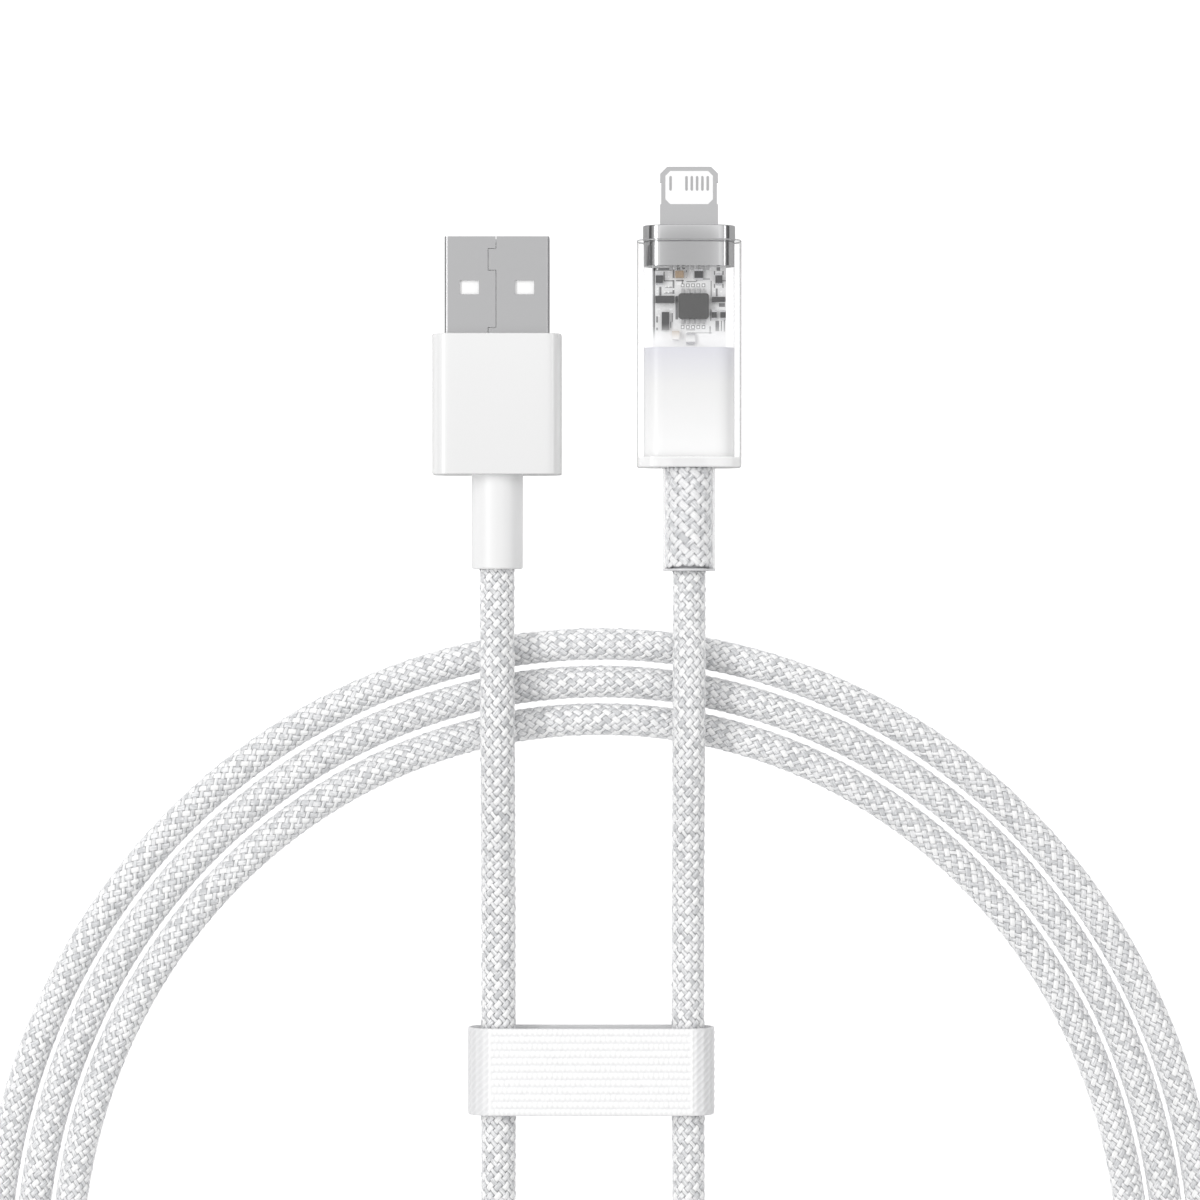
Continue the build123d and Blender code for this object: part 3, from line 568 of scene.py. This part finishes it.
# off-white and dull, hidden in the grip
dress(moulded("ABS, moulded inner body", "#ECECEA", "#E2E2E0", 0.5, 0.15), "type_a_inner_mould")
# satin grey metal without a direction
dress(metal("nickel plate, satin", "#C9C9CA", "#BDBDBE", 0.3, (0.05, 0.05, 0.05)),
      "type_a_contacts", "device_contacts_front", "device_contacts_back", "device_tails", "chip_leads")
# melted and set: bright, softly uneven
dress(metal("tin solder, melted", "#E4E4E6", "#CCCCD0", 0.28, (0.2, 0.2, 0.2)),
      "type_a_solder_joints", "component_terminals")
# pale grey and slightly glossy
dress(moulded("PVC, extruded wire cover", "#D8D8DA", "#CDCDD0", 0.45, 0.2), "type_a_wires", "device_wires")
# yarns pressed flat in the crimps: mottled and matt
dress(moulded("polyester braid, pressed flat", "#DCDDE0", "#B9BABD", 0.7, 0.25),
      "type_a_cord_end", "device_cord_end")
# stiff white hooks, seen as a coarse grit
dress(moulded("nylon hooks, moulded", "#F6F6F6", "#E2E2E2", 0.6, 0.3), "strap_hook_patch")

# ---- type-A grip ----
# The grip is soft white TPE moulded over the inner body, with rolled edges. The strain relief behind it is
# the same TPE, a plain round sleeve with a rounded end, bent up a little with the cord.
PER_CORNER = 12
PER_SIDE = 6
TYPE_A_Z = 4.0
GRIP_FRONT_Y = 3.90
GRIP_REAR_Y = -12.19
GRIP_WIDTH = 14.8
GRIP_HEIGHT = 8.0
GRIP_CORNER = 2.0
EDGE_ROLL = 0.15
# y from, y to, width, height, corner: the cord's hole, the inner body's room, the shell's opening
GRIP_HOLLOWS = (
    (GRIP_REAR_Y, -11.2, 3.8, 3.8, 1.9),
    (-11.2, 1.6, 13.4, 6.0, 1.2),
    (1.6, GRIP_FRONT_Y, 12.02, 4.52, 0.41),
)
RELIEF_LENGTH = 10.85
RELIEF_DIAMETER = 5.9
RELIEF_BORE = 3.84
RELIEF_BEND_RADIUS = 105.0


def ring(x, y, z, width, height, corner, lean=0.0, crown=0.0):
    """A rounded rectangle across Y: four quarter circles joined by straight sides. Crown bulges the broad
    sides by a parabola, and lean turns it about X, as on a bent sleeve."""
    quarter = np.linspace(0.0, np.pi / 2, PER_CORNER)
    turn = quarter + np.arange(4)[:, None] * np.pi / 2
    centre_x = (width / 2 - corner) * np.array((1, -1, -1, 1))[:, None]
    centre_z = (height / 2 - corner) * np.array((1, 1, -1, -1))[:, None]
    arcs = np.stack([centre_x + corner * np.cos(turn), centre_z + corner * np.sin(turn)], axis=-1)
    share = (np.arange(1, PER_SIDE + 1) / (PER_SIDE + 1))[None, :, None]
    sides = arcs[:, -1:] * (1 - share) + np.roll(arcs[:, :1], -1, axis=0) * share
    points = np.concatenate([arcs, sides], axis=1).reshape(-1, 2)
    across, up = points[:, 0], points[:, 1]
    up = up + crown * np.sign(up) * (1 - (2 * across / width) ** 2)
    return np.stack([x + across, y + up * math.sin(lean), z + up * math.cos(lean)], axis=-1)


def bent_ring(x, y, z, along, diameter, length):
    """A circle round a sleeve's axis, which starts at y and z and rises along a large arc towards -Y. The
    last millimetre's circles stand upright, because the sleeve's end is cut so."""
    angle = along / RELIEF_BEND_RADIUS
    return ring(x, y - RELIEF_BEND_RADIUS * math.sin(angle), z + RELIEF_BEND_RADIUS * (1 - math.cos(angle)),
                diameter, diameter, diameter / 2, lean=angle if along < length - 1 else 0.0)


def rolled_edge(end, inward, radius):
    """Stations over an edge rolled to a quarter circle, from the end inwards: place on the axis, and how far
    in the skin is there."""
    turn = np.linspace(0.0, np.pi / 2, 6)
    return [(end - inward * radius * (1 - math.cos(t)), radius * (1 - math.sin(t))) for t in turn]


def hollow(name, rings):
    """A hollow part from rings in order: down its outer skin, then back along its inner one."""
    mesh = grid_mesh(name, np.stack(rings) * MM, close_u=True, close_v=True)
    mesh.set_sharp_from_angle(angle=math.radians(32))
    return mesh


grip_outside = rolled_edge(GRIP_FRONT_Y, 1, EDGE_ROLL) + rolled_edge(GRIP_REAR_Y, -1, EDGE_ROLL)[::-1]
grip_rings = [ring(TYPE_A_X, y, TYPE_A_Z, GRIP_WIDTH - 2 * i, GRIP_HEIGHT - 2 * i, GRIP_CORNER - i)
              for y, i in grip_outside]
grip_rings += [ring(TYPE_A_X, y, TYPE_A_Z, width, height, corner)
               for *ends, width, height, corner in GRIP_HOLLOWS for y in ends]
# TPE: white, with a glossy skin from the polished mould over a softer body
soft_white = moulded("TPE, moulded satin", "#F0F0F0", "#EDEDED", 0.24, 0.12, Coat_Weight=1.0,
                     Coat_Roughness=0.03)
grip = place("type_a_grip", hollow("type_a_grip", grip_rings), soft_white, "cable", "type_a_overmould")

relief_outside = [(0.0, 0.0), (3.6, 0.0), (7.2, 0.0)] + rolled_edge(RELIEF_LENGTH, 1, 0.25)[::-1]
relief_rings = [bent_ring(TYPE_A_X, GRIP_REAR_Y, TYPE_A_Z, s, RELIEF_DIAMETER - 2 * i, RELIEF_LENGTH)
                for s, i in relief_outside]
relief_rings += [bent_ring(TYPE_A_X, GRIP_REAR_Y, TYPE_A_Z, s, RELIEF_BORE, RELIEF_LENGTH)
                 for s in (RELIEF_LENGTH, 7.2, 3.6, 0.0)]
# the same TPE from a duller mould
soft_matt = moulded("TPE, moulded matt", "#F0F0F0", "#EDEDED", 0.4, 0.12, Coat_Weight=0.3,
                    Coat_Roughness=0.3)
relief = place("type_a_relief", hollow("type_a_relief", relief_rings), soft_matt, "cable",
               "type_a_strain_relief")

# ---- device tongue and collar ----
# The tongue's frame is injected stainless steel and holds the white contact block. The collar behind it is
# zinc, die-cast in two tiers, polished and nickel plated.
DEVICE_Z = 3.5
COLLAR_FRONT_Y = 16.44
COLLAR_REAR_Y = 11.78
COLLAR_WIDTH = 10.6
COLLAR_HEIGHT = 5.2
COLLAR_CROWN = 0.4            # how far the broad sides bulge, within that height
TONGUE_HOLE = (6.67, 1.52, 0.02)
COLLAR_STEPS = ((14.79, 10.6, 5.2, 2.0), (14.75, 10.4, 5.0, 1.9), (COLLAR_REAR_Y, 10.4, 5.0, 1.9))
collar_rings = [ring(DEVICE_X, y, DEVICE_Z, COLLAR_WIDTH - 2 * i, COLLAR_HEIGHT - 2 * i - 2 * COLLAR_CROWN,
                     2.0 - i, crown=COLLAR_CROWN) for y, i in rolled_edge(COLLAR_FRONT_Y, 1, 0.12)]
collar_rings += [ring(DEVICE_X, y, DEVICE_Z, width, height - 2 * COLLAR_CROWN, corner, crown=COLLAR_CROWN)
                 for y, width, height, corner in COLLAR_STEPS]
collar_rings += [ring(DEVICE_X, y, DEVICE_Z, *TONGUE_HOLE) for y in (COLLAR_REAR_Y, COLLAR_FRONT_Y)]
# steel: satin grey, without a grain
dress(metal("stainless steel, injected and tumbled", "#D2D2D3", "#CBCBCC", 0.3, (0.12, 0.12, 0.12)),
      "device_tongue_frame")
# polished nickel: a near mirror, dark where it faces the dark low part of the room
collar = place("device_collar_plated", hollow("device_collar_plated", collar_rings),
               metal("zinc, die-cast and nickel plated", "#CDCDCE", "#CACACB", 0.12, (0.1, 0.5, 0.1)),
               "cable", "device_collar")

# ---- clear case ----
# The case is clear polycarbonate, moulded and polished. White potting, poured in through the open front,
# fills its rear half, and its closed rear end is seen as a white band.
CASE_FRONT_Y = 14.77
CASE_REAR_Y = -11.35
CASE_WALL_END_Y = CASE_REAR_Y + 1.0
CASE_WIDTH = 12.0
CASE_HEIGHT = 7.0
CASE_CORNER = 2.6
# y from, y to, width, height, corner: the cord's hole, the room inside
CASE_HOLLOWS = (
    (CASE_REAR_Y, CASE_WALL_END_Y, 3.9, 3.9, 1.95),
    (CASE_WALL_END_Y, CASE_FRONT_Y, 10.48, 5.48, 2.12),
)
REAR_BAND = (-10.10 * MM, -10.20 * MM)      # the places along Y where the white band begins and is full
FRONT_SHADE_LINE = (14.56 * MM, 14.62 * MM)       # the same for the dark line round the open front, a painted shade
case_outside = rolled_edge(CASE_FRONT_Y, 1, 0.12) + rolled_edge(CASE_REAR_Y, -1, 0.2)[::-1]
case_rings = [ring(DEVICE_X, y, DEVICE_Z, CASE_WIDTH - 2 * i, CASE_HEIGHT - 2 * i, CASE_CORNER - i)
              for y, i in case_outside]
case_rings += [ring(DEVICE_X, y, DEVICE_Z, width, height, corner)
               for *ends, width, height, corner in CASE_HOLLOWS for y in ends]
# polycarbonate: nearly invisible face on, and grey lines where a wall is seen along its thickness, so its
# alpha rises as the surface turns away. The grey of those lines is painted shade for the light the wall bends
# away.
clear_plastic, tree, shader = finish_of("polycarbonate, moulded and polished", Roughness=0.04)
turned = add(tree, "ShaderNodeLayerWeight", {"Blend": 0.5})
edge = add(tree, "ShaderNodeMapRange", {"From Min": 0.5, "From Max": 0.95},
           {"Value": turned.outputs["Facing"]})
edge_cover = add(tree, "ShaderNodeMath", {"operation": "MULTIPLY_ADD", 1: 0.78, 2: 0.01},
                 {0: edge.outputs[0]})
place_on = add(tree, "ShaderNodeTexCoord")
split = add(tree, "ShaderNodeSeparateXYZ", {}, {"Vector": place_on.outputs["Object"]})
rear = add(tree, "ShaderNodeMapRange",
           {"interpolation_type": "SMOOTHSTEP", "From Min": REAR_BAND[0], "From Max": REAR_BAND[1],
            "To Max": 0.85}, {"Value": split.outputs["Y"]})
front = add(tree, "ShaderNodeMapRange",
            {"From Min": FRONT_SHADE_LINE[0], "From Max": FRONT_SHADE_LINE[1], "To Max": 0.7},
            {"Value": split.outputs["Y"]})
ends = add(tree, "ShaderNodeMath", {"operation": "MAXIMUM"}, {0: front.outputs[0], 1: rear.outputs[0]})
cover = add(tree, "ShaderNodeMath", {"operation": "MAXIMUM"},
            {0: edge_cover.outputs[0], 1: ends.outputs[0]})
clear_share = add(tree, "ShaderNodeMath", {"operation": "MULTIPLY_ADD", 1: -0.75, 2: 1.0},
                  {0: rear.outputs[0]})
edge_tint = add(tree, "ShaderNodeMath", {"operation": "MULTIPLY"},
                {0: edge.outputs[0], 1: clear_share.outputs[0]})
# painted shade: grey at the walls' edges and in the line round the open front
grey_share = add(tree, "ShaderNodeMath", {"operation": "MAXIMUM"},
                 {0: edge_tint.outputs[0], 1: front.outputs[0]})
tint = add(tree, "ShaderNodeMix", {"data_type": "RGBA", 6: linear("#FDFDFD"), 7: linear("#646467")},
           {0: grey_share.outputs[0]})
ripple = add(tree, "ShaderNodeTexNoise", {"Scale": 300.0, "Detail": 1.0},
             {"Vector": place_on.outputs["Object"]})
ripples = add(tree, "ShaderNodeBump", {"Strength": 0.02, "Distance": 0.0001},
              {"Height": ripple.outputs["Fac"]})
tree.links.new(cover.outputs[0], shader.inputs["Alpha"])
tree.links.new(tint.outputs[2], shader.inputs["Base Color"])
tree.links.new(ripples.outputs["Normal"], shader.inputs["Normal"])
case = place("device_case", hollow("device_case", case_rings), clear_plastic, "cable", "device_clear_case")
# inside, the resin wets the wall, so its painted grey edge lines are fainter, and there are none at the white
# band
inner_wall, tree, shader = finish_of("polycarbonate, wetted by resin", Base_Color=linear("#B4B4B8"),
                                     Roughness=0.1)
turned = add(tree, "ShaderNodeLayerWeight", {"Blend": 0.5})
edge = add(tree, "ShaderNodeMapRange", {"From Min": 0.5, "From Max": 0.95, "To Max": 0.3},
           {"Value": turned.outputs["Facing"]})
place_on = add(tree, "ShaderNodeTexCoord")
split = add(tree, "ShaderNodeSeparateXYZ", {}, {"Vector": place_on.outputs["Object"]})
bare = add(tree, "ShaderNodeMapRange", {"From Min": -10.3 * MM, "From Max": REAR_BAND[1]},
           {"Value": split.outputs["Y"]})
cover = add(tree, "ShaderNodeMath", {"operation": "MULTIPLY"}, {0: edge.outputs[0], 1: bare.outputs[0]})
tree.links.new(cover.outputs[0], shader.inputs["Alpha"])
case.data.materials.append(inner_wall)
skin_row = np.arange(len(case.data.polygons)) // case_rings[0].shape[0]
case.data.polygons.foreach_set("material_index", (skin_row >= len(case_outside)).astype(np.int32))

# epoxy: smooth and white, going a little grey and blue along Y towards the board
potting, tree, shader = finish_of("epoxy, cast white", Roughness=0.3, Sheen_Weight=0.8)
place_on = add(tree, "ShaderNodeTexCoord")
split = add(tree, "ShaderNodeSeparateXYZ", {}, {"Vector": place_on.outputs["Object"]})
depth = add(tree, "ShaderNodeMapRange", {"From Min": -8.5 * MM, "From Max": 2.4 * MM},
            {"Value": split.outputs["Y"]})
cloud = add(tree, "ShaderNodeTexNoise", {"Scale": 400.0, "Detail": 2.0},
            {"Vector": place_on.outputs["Object"]})
tint = add(tree, "ShaderNodeValToRGB", {}, {"Fac": depth.outputs[0]})
tint.color_ramp.elements.new(0.6)
for element, colour in zip(tint.color_ramp.elements, ("#F8F8F8", "#EEEEEE", "#DEDEE5")):
    element.color = linear(colour)
polish = add(tree, "ShaderNodeMapRange", {"To Min": 0.25, "To Max": 0.4}, {"Value": cloud.outputs["Fac"]})
tree.links.new(tint.outputs["Color"], shader.inputs["Base Color"])
tree.links.new(polish.outputs[0], shader.inputs["Roughness"])
dress(potting, "device_core")

# ---- control board ----
# A glass-fibre board, masked in white over its copper. Tracks show as grey lines under the mask, pads and
# vias are bare tinned spots. The parts on it are epoxy packages and a ceramic capacitor.
RESIN_EDGE = (5.3 * MM, 3.0 * MM)           # the places along Y where the resin begins and is thick


def wetted(material):
    """White potting has crept up over the rear of the board: there the finish's own colour goes over to
    white, by a smooth step along Y."""
    tree = material.node_tree
    shader = tree.nodes["Principled BSDF"]
    own = shader.inputs["Base Color"].links[0].from_socket
    place_on = add(tree, "ShaderNodeTexCoord")
    split = add(tree, "ShaderNodeSeparateXYZ", {}, {"Vector": place_on.outputs["Object"]})
    resin = add(tree, "ShaderNodeMapRange",
                {"interpolation_type": "SMOOTHSTEP", "From Min": RESIN_EDGE[0], "From Max": RESIN_EDGE[1],
                 "To Max": 0.94}, {"Value": split.outputs["Y"]})
    covered = add(tree, "ShaderNodeMix", {"data_type": "RGBA", 7: linear("#FFFFFF")},
                  {0: resin.outputs[0], 6: own})
    tree.links.new(covered.outputs[2], shader.inputs["Base Color"])
    return material


# printed mask: off-white and slightly glossy
dress(wetted(moulded("solder mask, white", "#EFEFEF", "#DDDDDE", 0.4, 0.5)), "control_board")
# filled epoxy: dark and dull, with a fine grit
dress(moulded("epoxy package, moulded grey", "#5A5A5A", "#565656", 0.5, 0.06), "controller_chip")
dress(wetted(moulded("epoxy package, moulded dark", "#4A4A4B", "#5C5C5D", 0.5, 0.12)), "board_resistors",
      "board_transistors", "board_diodes")
# fired ceramic: tan and faintly mottled
dress(wetted(moulded("ceramic, fired tan", "#AF9A83", "#9F8C77", 0.45, 0.1)), "board_capacitors")

# x from the plug's axis, y, length along X, length along Y
TRACKS = (
    (-4.02, 7.2, 0.20, 8.8), (-3.03, 11.48, 2.1, 0.34), (-2.87, 10.66, 0.12, 1.1),
    (-2.36, 10.14, 1.0, 0.12), (-1.79, 10.0, 0.20, 3.2), (-3.30, 8.95, 0.24, 1.0),
    (-0.97, 11.59, 1.3, 0.14), (-0.30, 11.05, 0.12, 1.1), (-1.07, 10.17, 0.9, 0.14),
    (-1.42, 7.05, 0.28, 2.7), (3.37, 11.5, 0.4, 0.4), (2.92, 11.05, 0.12, 0.45),
    (3.90, 11.05, 0.12, 0.45), (2.92, 9.55, 0.12, 0.45), (3.90, 9.55, 0.12, 0.45),
    (4.02, 10.15, 0.4, 0.12), (2.54, 9.25, 0.10, 1.8), (3.18, 8.8, 0.20, 0.9), (3.25, 4.95, 0.42, 1.2),
    (3.72, 4.95, 0.10, 1.2), (4.05, 5.0, 0.10, 1.4), (3.78, 7.35, 0.7, 0.42), (-3.68, 5.7, 0.20, 0.7),
    (-3.68, 4.6, 0.20, 0.3), (-1.93, 6.0, 0.10, 1.2), (-2.10, 5.1, 0.10, 0.7), (1.20, 4.16, 2.9, 0.09),
    (0.20, 4.5, 1.0, 0.09), (2.50, 6.2, 0.10, 1.3), (2.42, 4.4, 0.12, 1.0), (-0.75, 9.98, 0.10, 0.5),
    (0.25, 10.05, 1.1, 0.10), (0.88, 10.3, 0.10, 0.5), (1.95, 10.35, 0.9, 0.10),
    (-2.36, 8.75, 1.0, 0.10), (-2.36, 9.4, 0.8, 0.10),
)
CHIP_X = 0.46
LEAD_PITCH = 0.6
LEAD_PADS = tuple((CHIP_X + i * LEAD_PITCH, y, 0.40, 0.42) for i in (-2, -1, 0, 1, 2) for y in (9.62, 4.82))
PADS = (
    (-3.45, 10.98, 0.75, 0.20), (-3.45, 9.58, 0.75, 0.20), (3.40, 11.08, 0.65, 0.20),
    (3.40, 9.52, 0.65, 0.20), (-3.51, 7.40, 0.35, 0.14), (-2.07, 7.40, 0.35, 0.14),
    (-3.51, 6.88, 0.35, 0.16), (-2.07, 6.88, 0.35, 0.16), (2.95, 7.35, 0.42, 0.36),
    (1.25, 3.95, 3.0, 0.18), (-1.15, 9.85, 0.5, 0.4), (2.95, 4.0, 0.4, 0.16), (-0.35, 10.85, 0.16, 0.6),
    (0.42, 10.85, 0.16, 0.6), (1.80, 10.85, 0.16, 0.6),
)
VIAS = (
    (-3.64, 11.49), (-1.78, 11.53), (3.69, 11.49), (-3.64, 9.18), (-3.64, 8.87), (-3.64, 8.53),
    (-1.78, 10.34), (-1.78, 9.18), (-1.78, 8.53), (-1.94, 6.54), (-3.42, 6.12), (-2.68, 9.5),
    (-2.36, 9.5), (-2.36, 10.6), (-2.68, 10.6), (-2.8, 8.85), (-2.36, 8.85), (2.9, 8.9), (3.7, 8.9),
    (3.75, 8.5), (4.0, 8.0), (2.45, 11.5),
)


def slabs(name, rectangles, low_z, thickness):
    """Thin boxes on the board, one for each row of x from the plug's axis, y, length along X, along Y."""
    x, y, width, length = np.array(rectangles).T
    corner = np.array([(i, j, k) for i in (-0.5, 0.5) for j in (-0.5, 0.5) for k in (0, 1)])
    points = np.stack([DEVICE_X + x[:, None] + corner[:, 0] * width[:, None],
                       y[:, None] + corner[:, 1] * length[:, None],
                       np.broadcast_to(low_z + corner[:, 2] * thickness, (len(x), 8))], axis=-1)
    box = np.array([(0, 1, 3, 2), (4, 6, 7, 5), (0, 4, 5, 1), (2, 3, 7, 6), (0, 2, 6, 4), (1, 5, 7, 3)])
    faces = (np.arange(len(x))[:, None, None] * 8 + box).reshape(-1, 4)
    mesh = bpy.data.meshes.new(name)
    mesh.from_pydata((points.reshape(-1, 3) * MM).tolist(), [], faces.tolist())
    return mesh


BOARD_TOP_Z = 3.7
VIA_SIZE = 0.2
# in turn: grey lines under the mask, bright tinned metal, and bright spots
tracks = place("board_tracks", slabs("board_tracks", TRACKS + LEAD_PADS, BOARD_TOP_Z, 0.02),
               wetted(moulded("copper under white mask", "#929293", "#7E7E80", 0.4, 0.2)), "cable")
pads = place("board_pads", slabs("board_pads", PADS + tuple((x, y, 0.24, 0.26) for x, y, _, _ in LEAD_PADS),
                                 BOARD_TOP_Z, 0.035),
             wetted(moulded("tin, plated on copper", "#FBFBFB", "#EDEDEE", 0.4, 0.1)), "cable")
vias = place("board_vias", slabs("board_vias", tuple((x, y, VIA_SIZE, VIA_SIZE) for x, y in VIAS),
                                 BOARD_TOP_Z, 0.04),
             moulded("tin, filled vias", "#FFFFFF", "#EDEDEE", 0.35, 0.1), "cable")

# ---- device sleeve ----
# A clear heat-shrunk sleeve grips the rear of the case and the cord. The braid bunches up under it into
# wider, looser meshes.
SLEEVE_LENGTH = 11.9
SLEEVE_DIAMETER = 6.04
SLEEVE_BORE = 5.66
SLEEVE_MOUTH = 4.1            # the hole in its end wall, for the cord
SLEEVE_END = SLEEVE_LENGTH - 0.2
CUT_END = (-22.94 * MM, -23.0 * MM)         # the places along Y where the cut end begins and is full
BUNCHED_POINTS = 80
BUNCHED_RADIUS = 2.80
BUNCHED_LEAD = 15.4 * MM
BUNCHED_WIDTHS = {1: 1.12 * MM, -1: 0.76 * MM}     # the right-leaning set is the looser one here
sleeve_outside = [(0.0, 0.0), (3.0, 0.0), (6.0, 0.0), (9.0, 0.0)] + rolled_edge(SLEEVE_LENGTH, 1, 0.1)[::-1]
sleeve_stations = [(s, SLEEVE_DIAMETER - 2 * i) for s, i in sleeve_outside]
sleeve_stations += [(SLEEVE_LENGTH, SLEEVE_MOUTH), (SLEEVE_END, SLEEVE_MOUTH)]
sleeve_stations += [(s, SLEEVE_BORE) for s in (SLEEVE_END, 9, 6, 3, 0)]
sleeve_rings = [bent_ring(DEVICE_X, CASE_REAR_Y, DEVICE_Z, s, diameter, SLEEVE_LENGTH)
                for s, diameter in sleeve_stations]
# PVC: clear face on, white at its sides and at its cut end as painted light, with faint ripples left by the
# shrinking
clear_sleeve, tree, shader = finish_of("PVC sleeve, shrunk on clear", Base_Color=linear("#EAEAEC"),
                                       Roughness=0.12)
edge = add(tree, "ShaderNodeLayerWeight", {"Blend": 0.5})
edge_tint = add(tree, "ShaderNodeMapRange",
                {"From Min": 0.60, "From Max": 0.97, "To Min": 0.03, "To Max": 0.8},
                {"Value": edge.outputs["Facing"]})
place_on = add(tree, "ShaderNodeTexCoord")
ripple = add(tree, "ShaderNodeTexNoise", {"Scale": 900.0, "Detail": 2.0},
             {"Vector": place_on.outputs["Object"]})
ripples = add(tree, "ShaderNodeBump", {"Strength": 0.15, "Distance": 0.0001},
              {"Height": ripple.outputs["Fac"]})
split = add(tree, "ShaderNodeSeparateXYZ", {}, {"Vector": place_on.outputs["Object"]})
# painted light: the cut end is made nearly opaque and pale
cut_end = add(tree, "ShaderNodeMapRange", {"From Min": CUT_END[0], "From Max": CUT_END[1], "To Max": 0.8},
              {"Value": split.outputs["Y"]})
cover = add(tree, "ShaderNodeMath", {"operation": "MAXIMUM"},
            {0: edge_tint.outputs[0], 1: cut_end.outputs[0]})
tree.links.new(cover.outputs[0], shader.inputs["Alpha"])
tree.links.new(ripples.outputs["Normal"], shader.inputs["Normal"])
sleeve = place("device_clear_sleeve", hollow("device_clear_sleeve", sleeve_rings), clear_sleeve, "cable",
               "device_sleeve")

# the yarns follow the sleeve's own arc, and stop just short of its end wall
BUNCHED_LENGTH = SLEEVE_LENGTH - 0.22
arc = np.linspace(0.0, BUNCHED_LENGTH, BUNCHED_POINTS)
sleeve_line = np.stack([np.full(BUNCHED_POINTS, DEVICE_X),
                        CASE_REAR_Y - RELIEF_BEND_RADIUS * np.sin(arc / RELIEF_BEND_RADIUS),
                        DEVICE_Z + RELIEF_BEND_RADIUS * (1 - np.cos(arc / RELIEF_BEND_RADIUS))],
                       axis=-1) * MM
# as on the cord: the grey set is a shaded copy of the white, painted shade, and each last colour is painted
# shade in the gaps and dips
BUNCHED_COLOURS = {"white": ("#FFFFFF", "#F0F0F1", "#B4B5B7"), "_grey": ("#FCFCFD", "#CFD0D2", "#ABACAE")}
for name, sense, first, _, _, _ in BRAIDS:
    finish = braid_finish("polyester yarn, bunched, " + name[6:].replace("_", " "),
                          *BUNCHED_COLOURS[name[-5:]])
    mesh = braid_yarns("bunched_" + name, sense, range(first, YARNS_EACH_WAY, 2), sleeve_line, arc * MM,
                       np.full(BUNCHED_POINTS, BUNCHED_RADIUS) * MM, BUNCHED_LEAD, BUNCHED_WIDTHS[sense])
    place("bunched_" + name, mesh, finish, "cable")
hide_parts("device_sleeve_braid")


# ---- room ----
# The cable lies on a white light table in a white tent. The tent is brightest high up, a little darker
# right overhead, and dark low down, which draws the thin dark lines along the metal edges. Where it is seen
# itself, it is plain white.
FLOOR_DROP = 0.04 * MM        # keeps the table's top clear of the faces that rest on it
floor_mesh = bpy.data.meshes.new("floor")
floor_mesh.from_pydata([(-3, -3, 0), (3, -3, 0), (3, 3, 0), (-3, 3, 0)], [], [(0, 1, 2, 3)])
floor = bpy.data.objects.new("floor", floor_mesh)
bpy.context.collection.objects.link(floor)
# opal glass: an even white glow, kept dim in reflections so that metal stays grey
floor_finish, tree, shader = finish_of("opal glass, lit from below", Base_Color=linear("#B0B0B0"),
                                       Roughness=0.9, Emission_Color=linear("#FFFFFF"))
ray = add(tree, "ShaderNodeLightPath")
glow = add(tree, "ShaderNodeMapRange", {"To Min": 0.85, "To Max": 0.12},
           {"Value": ray.outputs["Is Glossy Ray"]})
tree.links.new(glow.outputs[0], shader.inputs["Emission Strength"])
floor_mesh.materials.append(floor_finish)
floor.location.z = -FLOOR_DROP

TENT_STRENGTH = (0.50, 1.64)    # facing away from the plug tips, and towards them
TENT = ((0.0, 0.12), (0.25, 0.12), (0.40, 0.38), (0.60, 0.65), (0.80, 0.90), (0.93, 1.0), (0.97, 0.75),
        (1.0, 0.62))            # height of a direction above the table, and brightness there
world = bpy.data.worlds.new("white tent")
bpy.context.scene.world = world
world.use_nodes = True
tree = world.node_tree
direction = add(tree, "ShaderNodeTexCoord")
height = add(tree, "ShaderNodeSeparateXYZ", {}, {0: direction.outputs["Generated"]})
tent = add(tree, "ShaderNodeValToRGB", {}, {"Fac": height.outputs["Z"]})
while len(tent.color_ramp.elements) < len(TENT):
    tent.color_ramp.elements.new(0.5)
for element, (up, brightness) in zip(tent.color_ramp.elements, TENT):
    element.position = up
    element.color = (brightness, brightness, brightness, 1.0)
ray = add(tree, "ShaderNodeLightPath")
seen = add(tree, "ShaderNodeMix", {"data_type": "RGBA", 7: (1.0, 1.0, 1.0, 1.0)},
           {0: ray.outputs["Is Camera Ray"], 6: tent.outputs["Color"]})
tree.links.new(seen.outputs[2], tree.nodes["Background"].inputs["Color"])
slant = add(tree, "ShaderNodeMapRange",
            {"From Min": -1.0, "To Min": TENT_STRENGTH[0], "To Max": TENT_STRENGTH[1]},
            {"Value": height.outputs["Y"]})
tree.links.new(slant.outputs[0], tree.nodes["Background"].inputs["Strength"])


def strip_light(name, location, length, width, power):
    """A long area light at a place, in metres and watts. It is turned about Y by the angle whose tangent is
    its x over its z, so it faces the cable, and its length runs along Y."""
    data = bpy.data.lights.new(name, "AREA")
    data.shape = "RECTANGLE"
    data.size = width
    data.size_y = length
    data.energy = power
    light = bpy.data.objects.new(name, data)
    light.location = location
    light.rotation_euler = (0.0, math.atan2(location[0], location[2]), 0.0)
    bpy.context.collection.objects.link(light)


strip_light("left_strip", (-0.52, -0.03, 0.60), 1.2, 0.20, 3.0)
strip_light("right_strip", (0.75, -0.03, 0.45), 1.2, 0.10, 0.8)
bpy.context.scene.view_settings.view_transform = "Standard"
